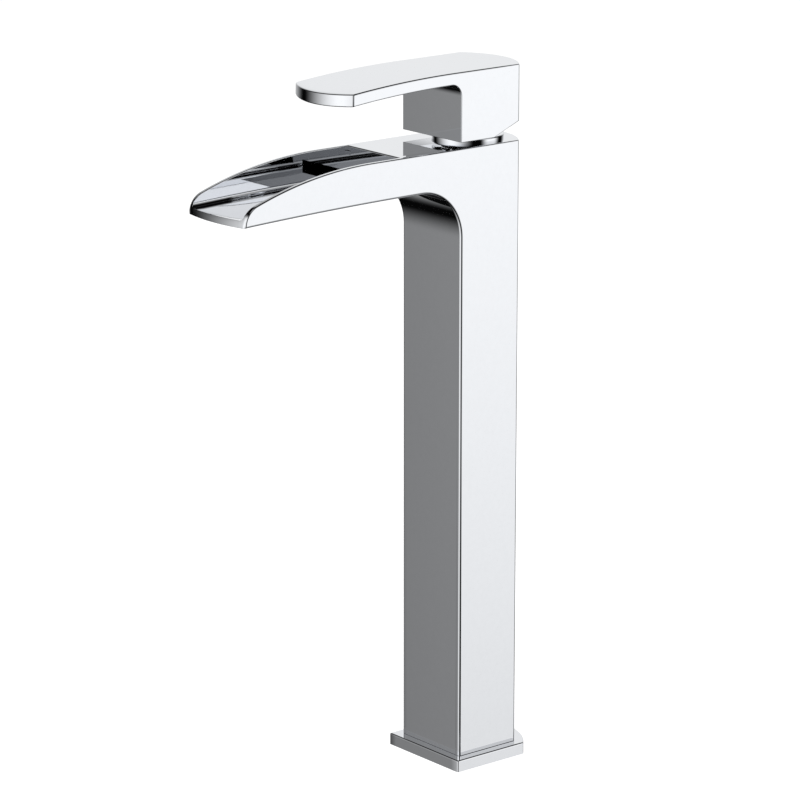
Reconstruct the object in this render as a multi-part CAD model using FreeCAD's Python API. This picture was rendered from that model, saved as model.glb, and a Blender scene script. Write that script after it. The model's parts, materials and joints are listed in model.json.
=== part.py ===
import FreeCAD
import Part
import math
import os
from FreeCAD import Vector

# Tall single-lever basin mixer with an open waterfall spout, in millimetres.
# +Z is up, the spout points along -Y and the origin lies on the column's axis at the worktop.

# Column and base plate
COLUMN_WIDTH = 40.0
COLUMN_DEPTH = 40.7
BACK_RADIUS = 29.0
BODY_TOP = 283.3
COLUMN_WALL = 2.6
COLUMN_ROUND = 1.0
EDGE_BREAK = 0.4
PLATE_OVERHANG = 4.25
PLATE_THICKNESS = 5.4

# Spout, with lengths counted forward from the column's front face
SPOUT_LENGTH = 116.7
SPOUT_DEPTH = 17.2
SPOUT_DROP = 2.0
ROOT_ROUND = 22.0
TOP_FLAT = 49.0
LIP_DROP = 12.7
NOSE_ROUND = 9.0
LIP_BULGE = 2.2
SPOUT_WALL = 2.2
FLOOR_THICKNESS = 3.0
FLOOR_ROUND = 2.0
DECK_LENGTH = 32.6

# Waterway from the cartridge to the slot under the deck
SLOT_WIDTH = 29.0
SLOT_HEIGHT = 3.0
GALLERY_WIDTH = 16.0
GALLERY_DEPTH = 2.4
GALLERY_WALL = 2.35
DUCT_WIDTH = 2.8
DUCT_HEIGHT = 3.2
DUCT_ROOF = 1.4

# Handle
HANDLE_GAP = 2.8
HANDLE_HEIGHT = 33.6
HEEL_CLEARANCE = 2.35
LIFT_ANGLE = 22.0
LEVER_LENGTH = 59.3
LEVER_THICKNESS = 5.3
LEVER_FLAT = 2.5
LEVER_ARC = 540.0
LEVER_ROUND = 5.2
LEVER_TIP_BULGE = 6.2
HANDLE_WALL = 3.2
HANDLE_ROOF = 7.8
HUB_SIZE = 14.0
HUB_RISE = 7.1
HUB_BOSS_RADIUS = 4.5
STEM_ENGAGEMENT = 13.7
SCREW_DROP = 4.9

# Cartridge, named from the seat up
PORT_PAD_HEIGHT = 1.0
PORT_PAD_RIM = 1.6
BASE_HEIGHT = 4.0
FIXED_DISC_HEIGHT = 3.5
MOVING_DISC_HEIGHT = 3.0
CARRIER_HEIGHT = 5.5
CARRIER_WEB = 0.8
FLANGE_HEIGHT = 3.7
CARTRIDGE_RADIUS = 12.5
HOUSING_WALL = 2.0
HOUSING_ROOF = 2.4
DISC_PLAY = 0.35
NECK_RADIUS = 7.5
YOKE_HEAD = 5.0
KEY_WIDTH = 4.0
KEY_REACH = 1.2
PORT_X = 4.2
PORT_Y = -3.8
PORT_RADIUS = 1.9
OUTLET_Y = 2.2
OUTLET_RADIUS = 2.6
POCKET_RADIUS = 4.1
POCKET_DEPTH = 1.2
DRIVE_WIDTH = 9.0
DRIVE_LENGTH = 3.0
DRIVE_HEIGHT = 1.2
RAIL_WIDTH = 2.1
RAIL_LENGTH = 9.0
RAIL_RISE = 1.8

# Stem and its pivot
KNUCKLE_RADIUS = 2.2
KNUCKLE_ARM = 11.15
SHANK_DEPTH = 2.4
BLADE_WIDTH = 6.0
BLADE_DEPTH = 5.2
SQUARE_SIZE = 8.0
SQUARE_RISE = 2.6
PIN_RADIUS = 1.5

# Nut and cap ring
NUT_LAND = 1.45
NUT_KEY = 20.0
NUT_HEIGHT = 8.0
CAP_FLANGE = 1.95
CAP_WALL = 2.65
CAP_HEIGHT = 2.0
CAP_SKIRT = 6.4

# Foot, risers and fasteners
FOOT_HEIGHT = 12.6
FOOT_LIFT = 0.4
SPIGOT_INSET = 4.6
INLET_SPACING = 14.0
INLET_THREAD_RADIUS = 4.5
INLET_LENGTH = 9.0
STUD_THREAD_RADIUS = 3.4
STUD_LENGTH = 12.0
STUD_Y = 9.5
RISER_RADIUS = 5.0
RISER_WALL = 0.7
SEAT_WEB = 5.2
SEAT_SOCKET_DEPTH = 8.8
BOSS_SIZE = 8.6
BOSS_HEIGHT = 14.0
BOSS_INSET = 3.9
SCREW_RADIUS = 2.0
SCREW_LENGTH = 18.0
SCREW_HEAD_RADIUS = 3.5
SCREW_HEAD_HEIGHT = 4.0
SCREW_KEY = 3.0
SCREW_KEY_DEPTH = 2.0
GRUB_RADIUS = 2.5
GRUB_LENGTH = 8.0
GRUB_KEY = 2.5
GRUB_KEY_DEPTH = 4.0
PLUG_RADIUS = 3.5
PLUG_DEPTH = 3.0

# Rubber band under the plate
GASKET_INSET = 3.0
GASKET_WIDTH = 2.5
GASKET_DEPTH = 1.5

# Clearances
RUNNING = 0.05
SEATING = 0.1
SLIDING = 0.15
LOOSE = 0.3
TOUCH = 0.01

# Column places worked out from the sizes above
HALF_WIDTH = COLUMN_WIDTH / 2
FRONT = -COLUMN_DEPTH / 2
BACK = COLUMN_DEPTH / 2
BACK_CENTRE = BACK - BACK_RADIUS
SIDE_END = BACK_CENTRE + math.sqrt(BACK_RADIUS ** 2 - HALF_WIDTH ** 2)
UNDERSIDE = BODY_TOP - SPOUT_DEPTH
UNDERSIDE_RUN = SPOUT_LENGTH - ROOT_ROUND
UNDERSIDE_ARC = (UNDERSIDE_RUN ** 2 + SPOUT_DROP ** 2) / (2 * SPOUT_DROP)
TOP_RUN = SPOUT_LENGTH - TOP_FLAT
TOP_ARC = (TOP_RUN ** 2 + LIP_DROP ** 2) / (2 * LIP_DROP)
SPOUT_REACH = SPOUT_LENGTH + 2 * LIP_BULGE
FOOT_TOP = PLATE_THICKNESS + FOOT_HEIGHT
INLET_X = INLET_SPACING / 2
INLET_TOP = FOOT_LIFT + INLET_LENGTH

# Cartridge levels, from the deck down to the seat
NUT_TOP = BODY_TOP - CAP_SKIRT - LOOSE
SHOULDER = NUT_TOP - NUT_HEIGHT
ROOF_FLOOR = SHOULDER - HOUSING_ROOF
FLANGE_TOP = ROOF_FLOOR - SLIDING
FLANGE_FLOOR = FLANGE_TOP - FLANGE_HEIGHT
CARRIER_TOP = FLANGE_FLOOR - LOOSE
CARRIER_FLOOR = CARRIER_TOP - CARRIER_HEIGHT
MOVING_FLOOR = CARRIER_FLOOR - MOVING_DISC_HEIGHT
FIXED_FLOOR = MOVING_FLOOR - FIXED_DISC_HEIGHT
SEAT = FIXED_FLOOR - BASE_HEIGHT
SOCKET_TOP = SEAT - SEAT_WEB
HOLLOW_TOP = SOCKET_TOP - SEAT_SOCKET_DEPTH

# Lever levels and the slide that the lever drives
KNUCKLE = CARRIER_FLOOR + CARRIER_WEB + LOOSE + KNUCKLE_RADIUS
PIVOT = KNUCKLE + KNUCKLE_ARM
YOKE_TOP = PIVOT + YOKE_HEAD
LIFT = math.radians(LIFT_ANGLE)
DISC_TRAVEL = KNUCKLE_ARM * LIFT
DISC_OFFSET = DISC_TRAVEL / 2
HANDLE_FLOOR = BODY_TOP + HANDLE_GAP
HANDLE_TOP = BODY_TOP + HANDLE_HEIGHT
HEEL_RISE = BODY_TOP + HEEL_CLEARANCE - PIVOT
HEEL_START = ((HANDLE_FLOOR - PIVOT) * math.cos(LIFT) - HEEL_RISE) / math.sin(LIFT)
HEEL_TOP = PIVOT + (HEEL_RISE + BACK * math.sin(LIFT)) / math.cos(LIFT)
HUB_FLOOR = HANDLE_FLOOR + HUB_RISE
STEM_TOP = HUB_FLOOR + STEM_ENGAGEMENT
GRUB_LEVEL = STEM_TOP - SCREW_DROP

# Radii that follow the cartridge
BORE_RADIUS = CARTRIDGE_RADIUS + SEATING
HOUSING_BORE = CARTRIDGE_RADIUS - HOUSING_WALL
DISC_RADIUS = HOUSING_BORE - DISC_OFFSET - DISC_PLAY
NUT_RADIUS = BORE_RADIUS + NUT_LAND
CAP_RADIUS = NUT_RADIUS + CAP_FLANGE
CAP_BORE_RADIUS = NUT_RADIUS - CAP_WALL
RAIL_INNER = BLADE_WIDTH / 2 + 2 * LOOSE
RAIL_OUTER = RAIL_INNER + RAIL_WIDTH

UP = Vector(0, 0, 1)
ACROSS = Vector(1, 0, 0)
BACKWARD = Vector(0, 1, 0)


def line(a, b):
    return Part.LineSegment(a, b).toShape()


def arc(a, middle, b):
    return Part.Arc(a, middle, b).toShape()


def prism(edges, direction):
    return Part.Face(Part.Wire(edges)).extrude(direction)


def cylinder(radius, height, base, direction=UP):
    return Part.makeCylinder(radius, height, base, direction)


def box(x0, x1, y0, y1, z0, z1):
    return Part.makeBox(x1 - x0, y1 - y0, z1 - z0, Vector(x0, y0, z0))


def centred_block(width, depth, z0, z1):
    return box(-width / 2, width / 2, -depth / 2, depth / 2, z0, z1)


def tube(outer, inner, z0, z1, x=0.0, y=0.0):
    base = Vector(x, y, z0)
    return cylinder(outer, z1 - z0, base).cut(cylinder(inner, z1 - z0, base))


def near(a, b):
    return abs(a - b) < TOUCH


def edges_of(shape, test):
    """Edges whose middle point passes the test."""
    found = []
    for edge in shape.Edges:
        if test(edge.valueAt((edge.FirstParameter + edge.LastParameter) / 2)):
            found.append(edge)
    return found


def ahead(s, z, x=0.0):
    """Point at a distance s in front of the column's front face."""
    return Vector(x, FRONT - s, z)


def plan_prism(grow, z0, z1):
    """Upright prism of the column's plan, grown outwards all round by the given amount."""
    half = HALF_WIDTH + grow
    radius = BACK_RADIUS + grow
    front = FRONT - grow
    side = BACK_CENTRE + math.sqrt(radius ** 2 - half ** 2)
    right, left = Vector(half, side, z0), Vector(-half, side, z0)
    front_right, front_left = Vector(half, front, z0), Vector(-half, front, z0)
    edges = [
        line(right, front_right),
        line(front_right, front_left),
        line(front_left, left),
        arc(left, Vector(0, BACK_CENTRE + radius, z0), right),
    ]
    return prism(edges, Vector(0, 0, z1 - z0))


def bowed_plan(length, bulge, z0, z1):
    """Upright prism from the curved back to a bowed front edge, as wide as the column."""
    right, left = Vector(HALF_WIDTH, SIDE_END, z0), Vector(-HALF_WIDTH, SIDE_END, z0)
    tip_right, tip_left = ahead(length, z0, HALF_WIDTH), ahead(length, z0, -HALF_WIDTH)
    edges = [
        line(right, tip_right),
        arc(tip_right, ahead(length + bulge, z0), tip_left),
        line(tip_left, left),
        arc(left, Vector(0, BACK, z0), right),
    ]
    return prism(edges, Vector(0, 0, z1 - z0))


def underside_z(s, lift=0.0):
    """Height of the spout's gently falling underside, or of a line parallel to it."""
    radius = UNDERSIDE_ARC + lift
    return UNDERSIDE - UNDERSIDE_ARC + math.sqrt(radius ** 2 - (s - ROOT_ROUND) ** 2)


def spout_top_z(s):
    return BODY_TOP - TOP_ARC + math.sqrt(TOP_ARC ** 2 - (s - TOP_FLAT) ** 2)


def side_arc(height, start, end, x):
    """Arc across the side outline through three points of a height formula."""
    places = (start, (start + end) / 2, end)
    return arc(*[ahead(s, height(s), x) for s in places])


def corner_arc(s, z, radius, x):
    """Quarter round from the vertical face at s up and forward to the underside at z."""
    bend = radius * (1 - math.sqrt(0.5))
    return arc(ahead(s, z - radius, x), ahead(s + bend, z - bend, x), ahead(s + radius, z, x))


def spout_blank():
    """Arched block with a bowed front and a rounded nose, before its underside is cut."""
    low = UNDERSIDE - 2 * ROOT_ROUND
    x = -HALF_WIDTH
    end = spout_top_z(SPOUT_REACH)
    outline = [
        line(ahead(FRONT, low, x), ahead(FRONT, BODY_TOP, x)),
        line(ahead(FRONT, BODY_TOP, x), ahead(TOP_FLAT, BODY_TOP, x)),
        side_arc(spout_top_z, TOP_FLAT, SPOUT_REACH, x),
        line(ahead(SPOUT_REACH, end, x), ahead(SPOUT_REACH, low, x)),
        line(ahead(SPOUT_REACH, low, x), ahead(FRONT, low, x)),
    ]
    block = prism(outline, Vector(COLUMN_WIDTH, 0, 0))
    block = block.common(bowed_plan(SPOUT_LENGTH, LIP_BULGE, low, BODY_TOP))
    nose = edges_of(block, lambda m: m.y < FRONT - SPOUT_LENGTH - TOUCH and m.z > UNDERSIDE - ROOT_ROUND)
    return block.makeFillet(NOSE_ROUND, nose)


def under_spout():
    """Space below the spout: the column's face, the root's round and the falling underside."""
    low = UNDERSIDE - 3 * ROOT_ROUND
    x = -COLUMN_WIDTH
    end = underside_z(SPOUT_REACH)
    outline = [
        line(ahead(0, low, x), ahead(0, UNDERSIDE - ROOT_ROUND, x)),
        corner_arc(0, UNDERSIDE, ROOT_ROUND, x),
        side_arc(underside_z, ROOT_ROUND, SPOUT_REACH, x),
        line(ahead(SPOUT_REACH, end, x), ahead(SPOUT_REACH, low, x)),
        line(ahead(SPOUT_REACH, low, x), ahead(0, low, x)),
    ]
    return prism(outline, Vector(2 * COLUMN_WIDTH, 0, 0))


def channel_floor_z(s):
    return underside_z(s, FLOOR_THICKNESS)


def channel():
    """Open channel from the deck's face to the lip, rounded along the foot of both walls."""
    high = BODY_TOP + SPOUT_DEPTH
    half = HALF_WIDTH - SPOUT_WALL
    back, front = channel_floor_z(DECK_LENGTH), channel_floor_z(SPOUT_REACH)
    outline = [
        side_arc(channel_floor_z, DECK_LENGTH, SPOUT_REACH, -half),
        line(ahead(SPOUT_REACH, front, -half), ahead(SPOUT_REACH, high, -half)),
        line(ahead(SPOUT_REACH, high, -half), ahead(DECK_LENGTH, high, -half)),
        line(ahead(DECK_LENGTH, high, -half), ahead(DECK_LENGTH, back, -half)),
    ]
    cutter = prism(outline, Vector(2 * half, 0, 0))
    foot = edges_of(cutter, lambda m: near(abs(m.x), half) and m.z < back)
    return cutter.makeFillet(FLOOR_ROUND, foot)


def waterway():
    """Duct under the seat, gallery up the front and the wide slot under the deck."""
    slot_floor = channel_floor_z(DECK_LENGTH)
    slot_top = slot_floor + SLOT_HEIGHT
    gallery_front = FRONT + GALLERY_WALL
    gallery_back = gallery_front + GALLERY_DEPTH
    duct_top = SEAT - DUCT_ROOF
    duct_floor = duct_top - DUCT_HEIGHT
    slot_front = FRONT - DECK_LENGTH - SPOUT_WALL
    half_slot, half_gallery, half_duct = SLOT_WIDTH / 2, GALLERY_WIDTH / 2, DUCT_WIDTH / 2
    slot = box(-half_slot, half_slot, slot_front, gallery_back, slot_floor, slot_top)
    gallery = box(-half_gallery, half_gallery, gallery_front, gallery_back, duct_floor, slot_top)
    duct = box(-half_duct, half_duct, gallery_front, OUTLET_Y, duct_floor, duct_top)
    outlet = cylinder(OUTLET_RADIUS, SEAT - duct_floor, Vector(0, OUTLET_Y, duct_floor))
    return slot.fuse([gallery, duct, outlet])


def riser_places():
    return [Vector(side * INLET_X, PORT_Y, 0) for side in (-1, 1)]


def port_places(z):
    return [Vector(side * PORT_X, PORT_Y, z) for side in (-1, 1)]


def foot_screw_places():
    """Places of the two bosses in the column's front corners."""
    x = HALF_WIDTH - COLUMN_WALL - BOSS_INSET
    y = FRONT + COLUMN_WALL + BOSS_INSET
    return [Vector(side * x, y, 0) for side in (-1, 1)]


def keyway(play):
    """Key on the cartridge base, or its slot in the body when play is added."""
    half = KEY_WIDTH / 2 + play
    reach = CARTRIDGE_RADIUS + KEY_REACH + play
    return box(-half, half, 0, reach, SEAT, SHOULDER if play else FIXED_FLOOR)


def cartridge_cuts():
    """Ports, riser sockets, keyed bore and nut thread in the top of the column."""
    cuts = [
        cylinder(BORE_RADIUS, SHOULDER - SEAT, Vector(0, 0, SEAT)),
        cylinder(NUT_RADIUS + RUNNING, BODY_TOP - SHOULDER, Vector(0, 0, SHOULDER)),
        keyway(SEATING),
    ]
    for place in riser_places():
        base = place + UP * HOLLOW_TOP
        cuts.append(cylinder(RISER_RADIUS + RUNNING, SEAT_SOCKET_DEPTH, base))
    for place in port_places(SOCKET_TOP):
        cuts.append(cylinder(PORT_RADIUS, SEAT_WEB, place))
    return cuts


def column_hollow():
    """Inside of the column, less the bosses that take the foot's screws."""
    hollow = plan_prism(-COLUMN_WALL, PLATE_THICKNESS, HOLLOW_TOP)
    for place in foot_screw_places():
        boss = centred_block(BOSS_SIZE, BOSS_SIZE, FOOT_TOP, FOOT_TOP + BOSS_HEIGHT)
        boss = boss.cut(cylinder(SCREW_RADIUS + RUNNING, BOSS_HEIGHT, UP * FOOT_TOP))
        hollow = hollow.cut(boss.translated(place))
    return hollow


def on_lower_side(point):
    """True on the column's standing edges, the root and the underside, but not on the plate or the lip."""
    behind_lip = point.y > FRONT - SPOUT_LENGTH + TOUCH
    above_plate = point.z > PLATE_THICKNESS + EDGE_BREAK
    return near(abs(point.x), HALF_WIDTH) and behind_lip and above_plate and point.z < UNDERSIDE + TOUCH


def on_upper_side(point):
    """True on the side edges of the deck, the arch and the nose."""
    return near(abs(point.x), HALF_WIDTH) and point.z > channel_floor_z(FRONT - point.y)


def make_body():
    column = plan_prism(0, PLATE_THICKNESS, BODY_TOP)
    outer = column.fuse(spout_blank().cut(under_spout())).removeSplitter()
    outer = outer.makeFillet(COLUMN_ROUND, edges_of(outer, on_lower_side))
    outer = outer.makeChamfer(EDGE_BREAK, edges_of(outer, on_upper_side))
    return outer.cut([channel(), waterway(), column_hollow()] + cartridge_cuts()).removeSplitter()


def make_base_plate():
    plate = plan_prism(PLATE_OVERHANG, 0, PLATE_THICKNESS)
    plate = plate.makeChamfer(EDGE_BREAK, edges_of(plate, lambda m: near(m.z, PLATE_THICKNESS)))
    hole = plan_prism(SEATING - SPIGOT_INSET, 0, PLATE_THICKNESS)
    return plate.cut([hole, gasket_band(0.0)])


def gasket_band(play):
    """Band that follows the plate's outline, made narrower by the play on each side."""
    outer = PLATE_OVERHANG - GASKET_INSET - play
    inner = PLATE_OVERHANG - GASKET_INSET - GASKET_WIDTH + play
    height = GASKET_DEPTH - play
    return plan_prism(outer, 0, height).cut(plan_prism(inner, 0, height))


def make_foot_block():
    """Brass foot: inlets and fixing thread in the spigot below, riser sockets above."""
    block = plan_prism(-COLUMN_WALL - SEATING, PLATE_THICKNESS, FOOT_TOP)
    spigot = plan_prism(-SPIGOT_INSET, FOOT_LIFT, PLATE_THICKNESS)
    cuts = [cylinder(STUD_THREAD_RADIUS, STUD_LENGTH, Vector(0, STUD_Y, FOOT_LIFT))]
    for place in riser_places():
        cuts.append(cylinder(INLET_THREAD_RADIUS, INLET_LENGTH, place + UP * FOOT_LIFT))
        cuts.append(cylinder(RISER_RADIUS + RUNNING, FOOT_TOP - INLET_TOP, place + UP * INLET_TOP))
    for place in foot_screw_places():
        head_seat = PLATE_THICKNESS + LOOSE + SCREW_HEAD_HEIGHT
        cuts.append(cylinder(SCREW_RADIUS + SEATING, FOOT_TOP - head_seat, place + UP * head_seat))
        cuts.append(cylinder(SCREW_HEAD_RADIUS + SEATING, head_seat, place))
    return block.fuse(spigot).cut(cuts).removeSplitter()


def hex_prism(across, height, base, direction):
    """Hexagonal key socket."""
    radius = across / math.sqrt(3)
    corners = []
    for turn in range(7):
        angle = turn * math.pi / 3
        corners.append(Vector(radius * math.cos(angle), radius * math.sin(angle), 0))
    shape = Part.Face(Part.makePolygon(corners)).extrude(Vector(0, 0, height))
    shape.Placement = FreeCAD.Placement(base, FreeCAD.Rotation(UP, direction))
    return shape


def make_foot_screws():
    """Socket-head screws up through the foot into the column's bosses."""
    screws = []
    for place in foot_screw_places():
        low = place + UP * (PLATE_THICKNESS + LOOSE)
        head = cylinder(SCREW_HEAD_RADIUS, SCREW_HEAD_HEIGHT, low)
        shank = cylinder(SCREW_RADIUS, SCREW_LENGTH, low + UP * SCREW_HEAD_HEIGHT)
        screws.append(head.fuse(shank).cut(hex_prism(SCREW_KEY, SCREW_KEY_DEPTH, low, UP)))
    return Part.makeCompound(screws)


def make_riser(place):
    """Supply tube brazed into the foot's socket and the seat's socket."""
    return tube(RISER_RADIUS, RISER_RADIUS - RISER_WALL, INLET_TOP, SOCKET_TOP, place.x, place.y)


def port_cuts(z, height):
    """Square openings through one layer of the cartridge, as wide as the bores that they meet."""
    openings = [(place.x, PORT_Y, PORT_RADIUS) for place in port_places(z)]
    openings.append((0, OUTLET_Y, OUTLET_RADIUS))
    return [box(x - half, x + half, y - half, y + half, z, z + height) for x, y, half in openings]


def port_pad(play):
    """Rubber pad round the three ports, or its recess in the base when play is added."""
    half = PORT_X + PORT_RADIUS + PORT_PAD_RIM + play
    front = PORT_Y - PORT_RADIUS - PORT_PAD_RIM - play
    back = OUTLET_Y + OUTLET_RADIUS + PORT_PAD_RIM + play
    return box(-half, half, front, back, SEAT, SEAT + PORT_PAD_HEIGHT)


def make_port_gasket():
    return port_pad(0.0).cut(port_cuts(SEAT, PORT_PAD_HEIGHT))


def make_cartridge_base():
    base = cylinder(CARTRIDGE_RADIUS, BASE_HEIGHT, Vector(0, 0, SEAT)).fuse(keyway(0.0))
    return base.cut([port_pad(RUNNING)] + port_cuts(SEAT, BASE_HEIGHT)).removeSplitter()


def make_cartridge_housing():
    shell = tube(CARTRIDGE_RADIUS, HOUSING_BORE, FIXED_FLOOR, ROOF_FLOOR)
    roof = tube(CARTRIDGE_RADIUS, NECK_RADIUS + RUNNING, ROOF_FLOOR, SHOULDER)
    return shell.fuse(roof).removeSplitter()


def make_fixed_disc():
    disc = cylinder(HOUSING_BORE - SEATING, FIXED_DISC_HEIGHT, Vector(0, 0, FIXED_FLOOR))
    return disc.cut(port_cuts(FIXED_FLOOR, FIXED_DISC_HEIGHT))


def drive_key(play):
    """Key under the carrier, or its recess in the moving disc when play is added."""
    half = DRIVE_WIDTH / 2 + play
    length = DRIVE_LENGTH / 2 + play
    floor = CARRIER_FLOOR - DRIVE_HEIGHT - play
    return box(-half, half, DISC_OFFSET - length, DISC_OFFSET + length, floor, CARRIER_FLOOR)


def make_moving_disc():
    """Ceramic disc with the mixing pocket below and the carrier's recess above."""
    disc = cylinder(DISC_RADIUS, MOVING_DISC_HEIGHT, Vector(0, DISC_OFFSET, MOVING_FLOOR))
    pocket = cylinder(POCKET_RADIUS, POCKET_DEPTH, Vector(0, DISC_OFFSET, MOVING_FLOOR))
    return disc.cut([pocket, drive_key(RUNNING)])


def make_disc_carrier():
    """Slider with two rails in the yoke, a key in the disc and a pocket for the stem's knuckle."""
    carrier = cylinder(DISC_RADIUS, CARRIER_HEIGHT, Vector(0, DISC_OFFSET, CARRIER_FLOOR))
    added = [drive_key(0.0)]
    back = DISC_OFFSET + RAIL_LENGTH / 2
    for side in (-1, 1):
        x0, x1 = sorted((side * RAIL_INNER, side * RAIL_OUTER))
        added.append(box(x0, x1, back - RAIL_LENGTH, back, CARRIER_FLOOR, FLANGE_FLOOR + RAIL_RISE))
    half = BLADE_WIDTH / 2 + SLIDING
    room = KNUCKLE_RADIUS + LOOSE
    pocket = box(-half, half, -room, room, KNUCKLE - room, CARRIER_TOP)
    return carrier.fuse(added).cut(pocket).removeSplitter()


def make_yoke():
    """Turning piece: a flange that steers the carrier and a neck that carries the pivot."""
    flange_radius = HOUSING_BORE - LOOSE
    flange = cylinder(flange_radius, FLANGE_HEIGHT, Vector(0, 0, FLANGE_FLOOR))
    neck = cylinder(NECK_RADIUS, YOKE_TOP - FLANGE_TOP, Vector(0, 0, FLANGE_TOP))
    half = BLADE_DEPTH / 2 / math.cos(LIFT) + LOOSE
    swing_top = (YOKE_TOP - PIVOT) * math.tan(LIFT) + half
    swing_low = (PIVOT - FLANGE_FLOOR) * math.tan(LIFT) + half
    x = -BLADE_WIDTH / 2 - SLIDING
    corners = [
        Vector(x, -half, YOKE_TOP),
        Vector(x, swing_top, YOKE_TOP),
        Vector(x, half, PIVOT),
        Vector(x, half, FLANGE_FLOOR),
        Vector(x, -swing_low, FLANGE_FLOOR),
        Vector(x, -half, PIVOT),
    ]
    slot = prism([line(a, b) for a, b in zip(corners, corners[1:] + corners[:1])], ACROSS * (-2 * x))
    half_way = RAIL_OUTER + SLIDING
    way_top = FLANGE_FLOOR + RAIL_RISE + SLIDING
    way = box(-half_way, half_way, -flange_radius, flange_radius, FLANGE_FLOOR, way_top)
    hole = cylinder(PIN_RADIUS + RUNNING, 2 * NECK_RADIUS, Vector(-NECK_RADIUS, 0, PIVOT), ACROSS)
    return flange.fuse(neck).removeSplitter().cut([slot, way, hole])


def make_pivot_pin():
    half = NECK_RADIUS - LOOSE
    return cylinder(PIN_RADIUS, 2 * half, Vector(-half, 0, PIVOT), ACROSS)


def make_stem():
    """Spindle: knuckle for the carrier, blade on the pivot and square for the handle."""
    blade_floor = FLANGE_FLOOR + LOOSE
    square_floor = YOKE_TOP + SQUARE_RISE
    left = -BLADE_WIDTH / 2
    knuckle = cylinder(KNUCKLE_RADIUS, BLADE_WIDTH, Vector(left, 0, KNUCKLE), ACROSS)
    shank = centred_block(BLADE_WIDTH, SHANK_DEPTH, KNUCKLE, blade_floor)
    blade = centred_block(BLADE_WIDTH, BLADE_DEPTH, blade_floor, square_floor)
    square = centred_block(SQUARE_SIZE, SQUARE_SIZE, square_floor, STEM_TOP)
    hole = cylinder(PIN_RADIUS + RUNNING, BLADE_WIDTH, Vector(left, 0, PIVOT), ACROSS)
    return knuckle.fuse([shank, blade, square]).cut(hole).removeSplitter()


def make_retaining_nut():
    """Threaded ring on the housing, turned with a hexagonal key."""
    base = Vector(0, 0, SHOULDER)
    return cylinder(NUT_RADIUS, NUT_HEIGHT, base).cut(hex_prism(NUT_KEY, NUT_HEIGHT, base, UP))


def make_cap_ring():
    """Ring on the deck with a skirt down into the nut's bore."""
    top = BODY_TOP + CAP_HEIGHT
    flange = cylinder(CAP_RADIUS, CAP_HEIGHT, Vector(0, 0, BODY_TOP))
    flange = flange.makeChamfer(EDGE_BREAK, edges_of(flange, lambda m: near(m.z, top)))
    skirt = cylinder(NUT_RADIUS, CAP_SKIRT, Vector(0, 0, BODY_TOP - CAP_SKIRT))
    bore = cylinder(CAP_BORE_RADIUS, CAP_SKIRT + CAP_HEIGHT, Vector(0, 0, BODY_TOP - CAP_SKIRT))
    return flange.fuse(skirt).cut(bore).removeSplitter()


def lever_z(s, drop=0.0):
    """Height of the lever's arched top, or of a line parallel to it."""
    radius = LEVER_ARC - drop
    return HANDLE_TOP - LEVER_ARC + math.sqrt(radius ** 2 - (s - LEVER_FLAT) ** 2)


def lever_underside_z(s):
    return lever_z(s, LEVER_THICKNESS)


def handle_blank():
    """Side outline of block and lever with a heel that lies level when lifted, trimmed to the plan."""
    reach = LEVER_LENGTH + 2 * LEVER_TIP_BULGE
    x = -HALF_WIDTH
    inner = lever_underside_z(LEVER_ROUND)
    outline = [
        line(ahead(-COLUMN_DEPTH, HEEL_TOP, x), ahead(-COLUMN_DEPTH, HANDLE_TOP, x)),
        line(ahead(-COLUMN_DEPTH, HANDLE_TOP, x), ahead(LEVER_FLAT, HANDLE_TOP, x)),
        side_arc(lever_z, LEVER_FLAT, reach, x),
        line(ahead(reach, lever_z(reach), x), ahead(reach, lever_underside_z(reach), x)),
        side_arc(lever_underside_z, reach, LEVER_ROUND, x),
        corner_arc(0, inner, LEVER_ROUND, x),
        line(ahead(0, inner - LEVER_ROUND, x), ahead(0, HANDLE_FLOOR, x)),
        line(ahead(0, HANDLE_FLOOR, x), Vector(x, HEEL_START, HANDLE_FLOOR)),
        line(Vector(x, HEEL_START, HANDLE_FLOOR), ahead(-COLUMN_DEPTH, HEEL_TOP, x)),
    ]
    plan = bowed_plan(LEVER_LENGTH, LEVER_TIP_BULGE, HANDLE_FLOOR, HANDLE_TOP)
    return prism(outline, Vector(COLUMN_WIDTH, 0, 0)).common(plan).removeSplitter()


def on_handle_rim(point):
    """True on the outline of the handle's upper surface, but not where flat and arch meet."""
    s = FRONT - point.y
    height = HANDLE_TOP if s < LEVER_FLAT else lever_z(s)
    return near(point.z, height) and not near(s, LEVER_FLAT)


def make_handle():
    blank = handle_blank()
    rear = edges_of(blank, lambda m: near(abs(m.x), HALF_WIDTH) and near(m.y, SIDE_END))
    blank = blank.makeFillet(COLUMN_ROUND, rear)
    for at_tip in (False, True):
        rim = edges_of(blank, lambda m: on_handle_rim(m) and (m.y < FRONT - LEVER_LENGTH) == at_tip)
        blank = blank.makeChamfer(EDGE_BREAK, rim)
    roof = HANDLE_TOP - HANDLE_ROOF
    hub = centred_block(HUB_SIZE, HUB_SIZE, HUB_FLOOR, roof)
    axis = Vector(0, 0, GRUB_LEVEL)
    boss = cylinder(HUB_BOSS_RADIUS, BACK, axis, BACKWARD)
    recess = plan_prism(-HANDLE_WALL, BODY_TOP, roof).cut([hub, boss])
    size = SQUARE_SIZE + 2 * RUNNING
    socket = centred_block(size, size, HUB_FLOOR, STEM_TOP + SEATING)
    thread = cylinder(GRUB_RADIUS + RUNNING, COLUMN_DEPTH, axis, BACKWARD)
    seat = cylinder(PLUG_RADIUS + RUNNING, COLUMN_DEPTH, axis + BACKWARD * (BACK - PLUG_DEPTH), BACKWARD)
    return blank.cut([recess, socket, thread, seat]).removeSplitter()


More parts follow.
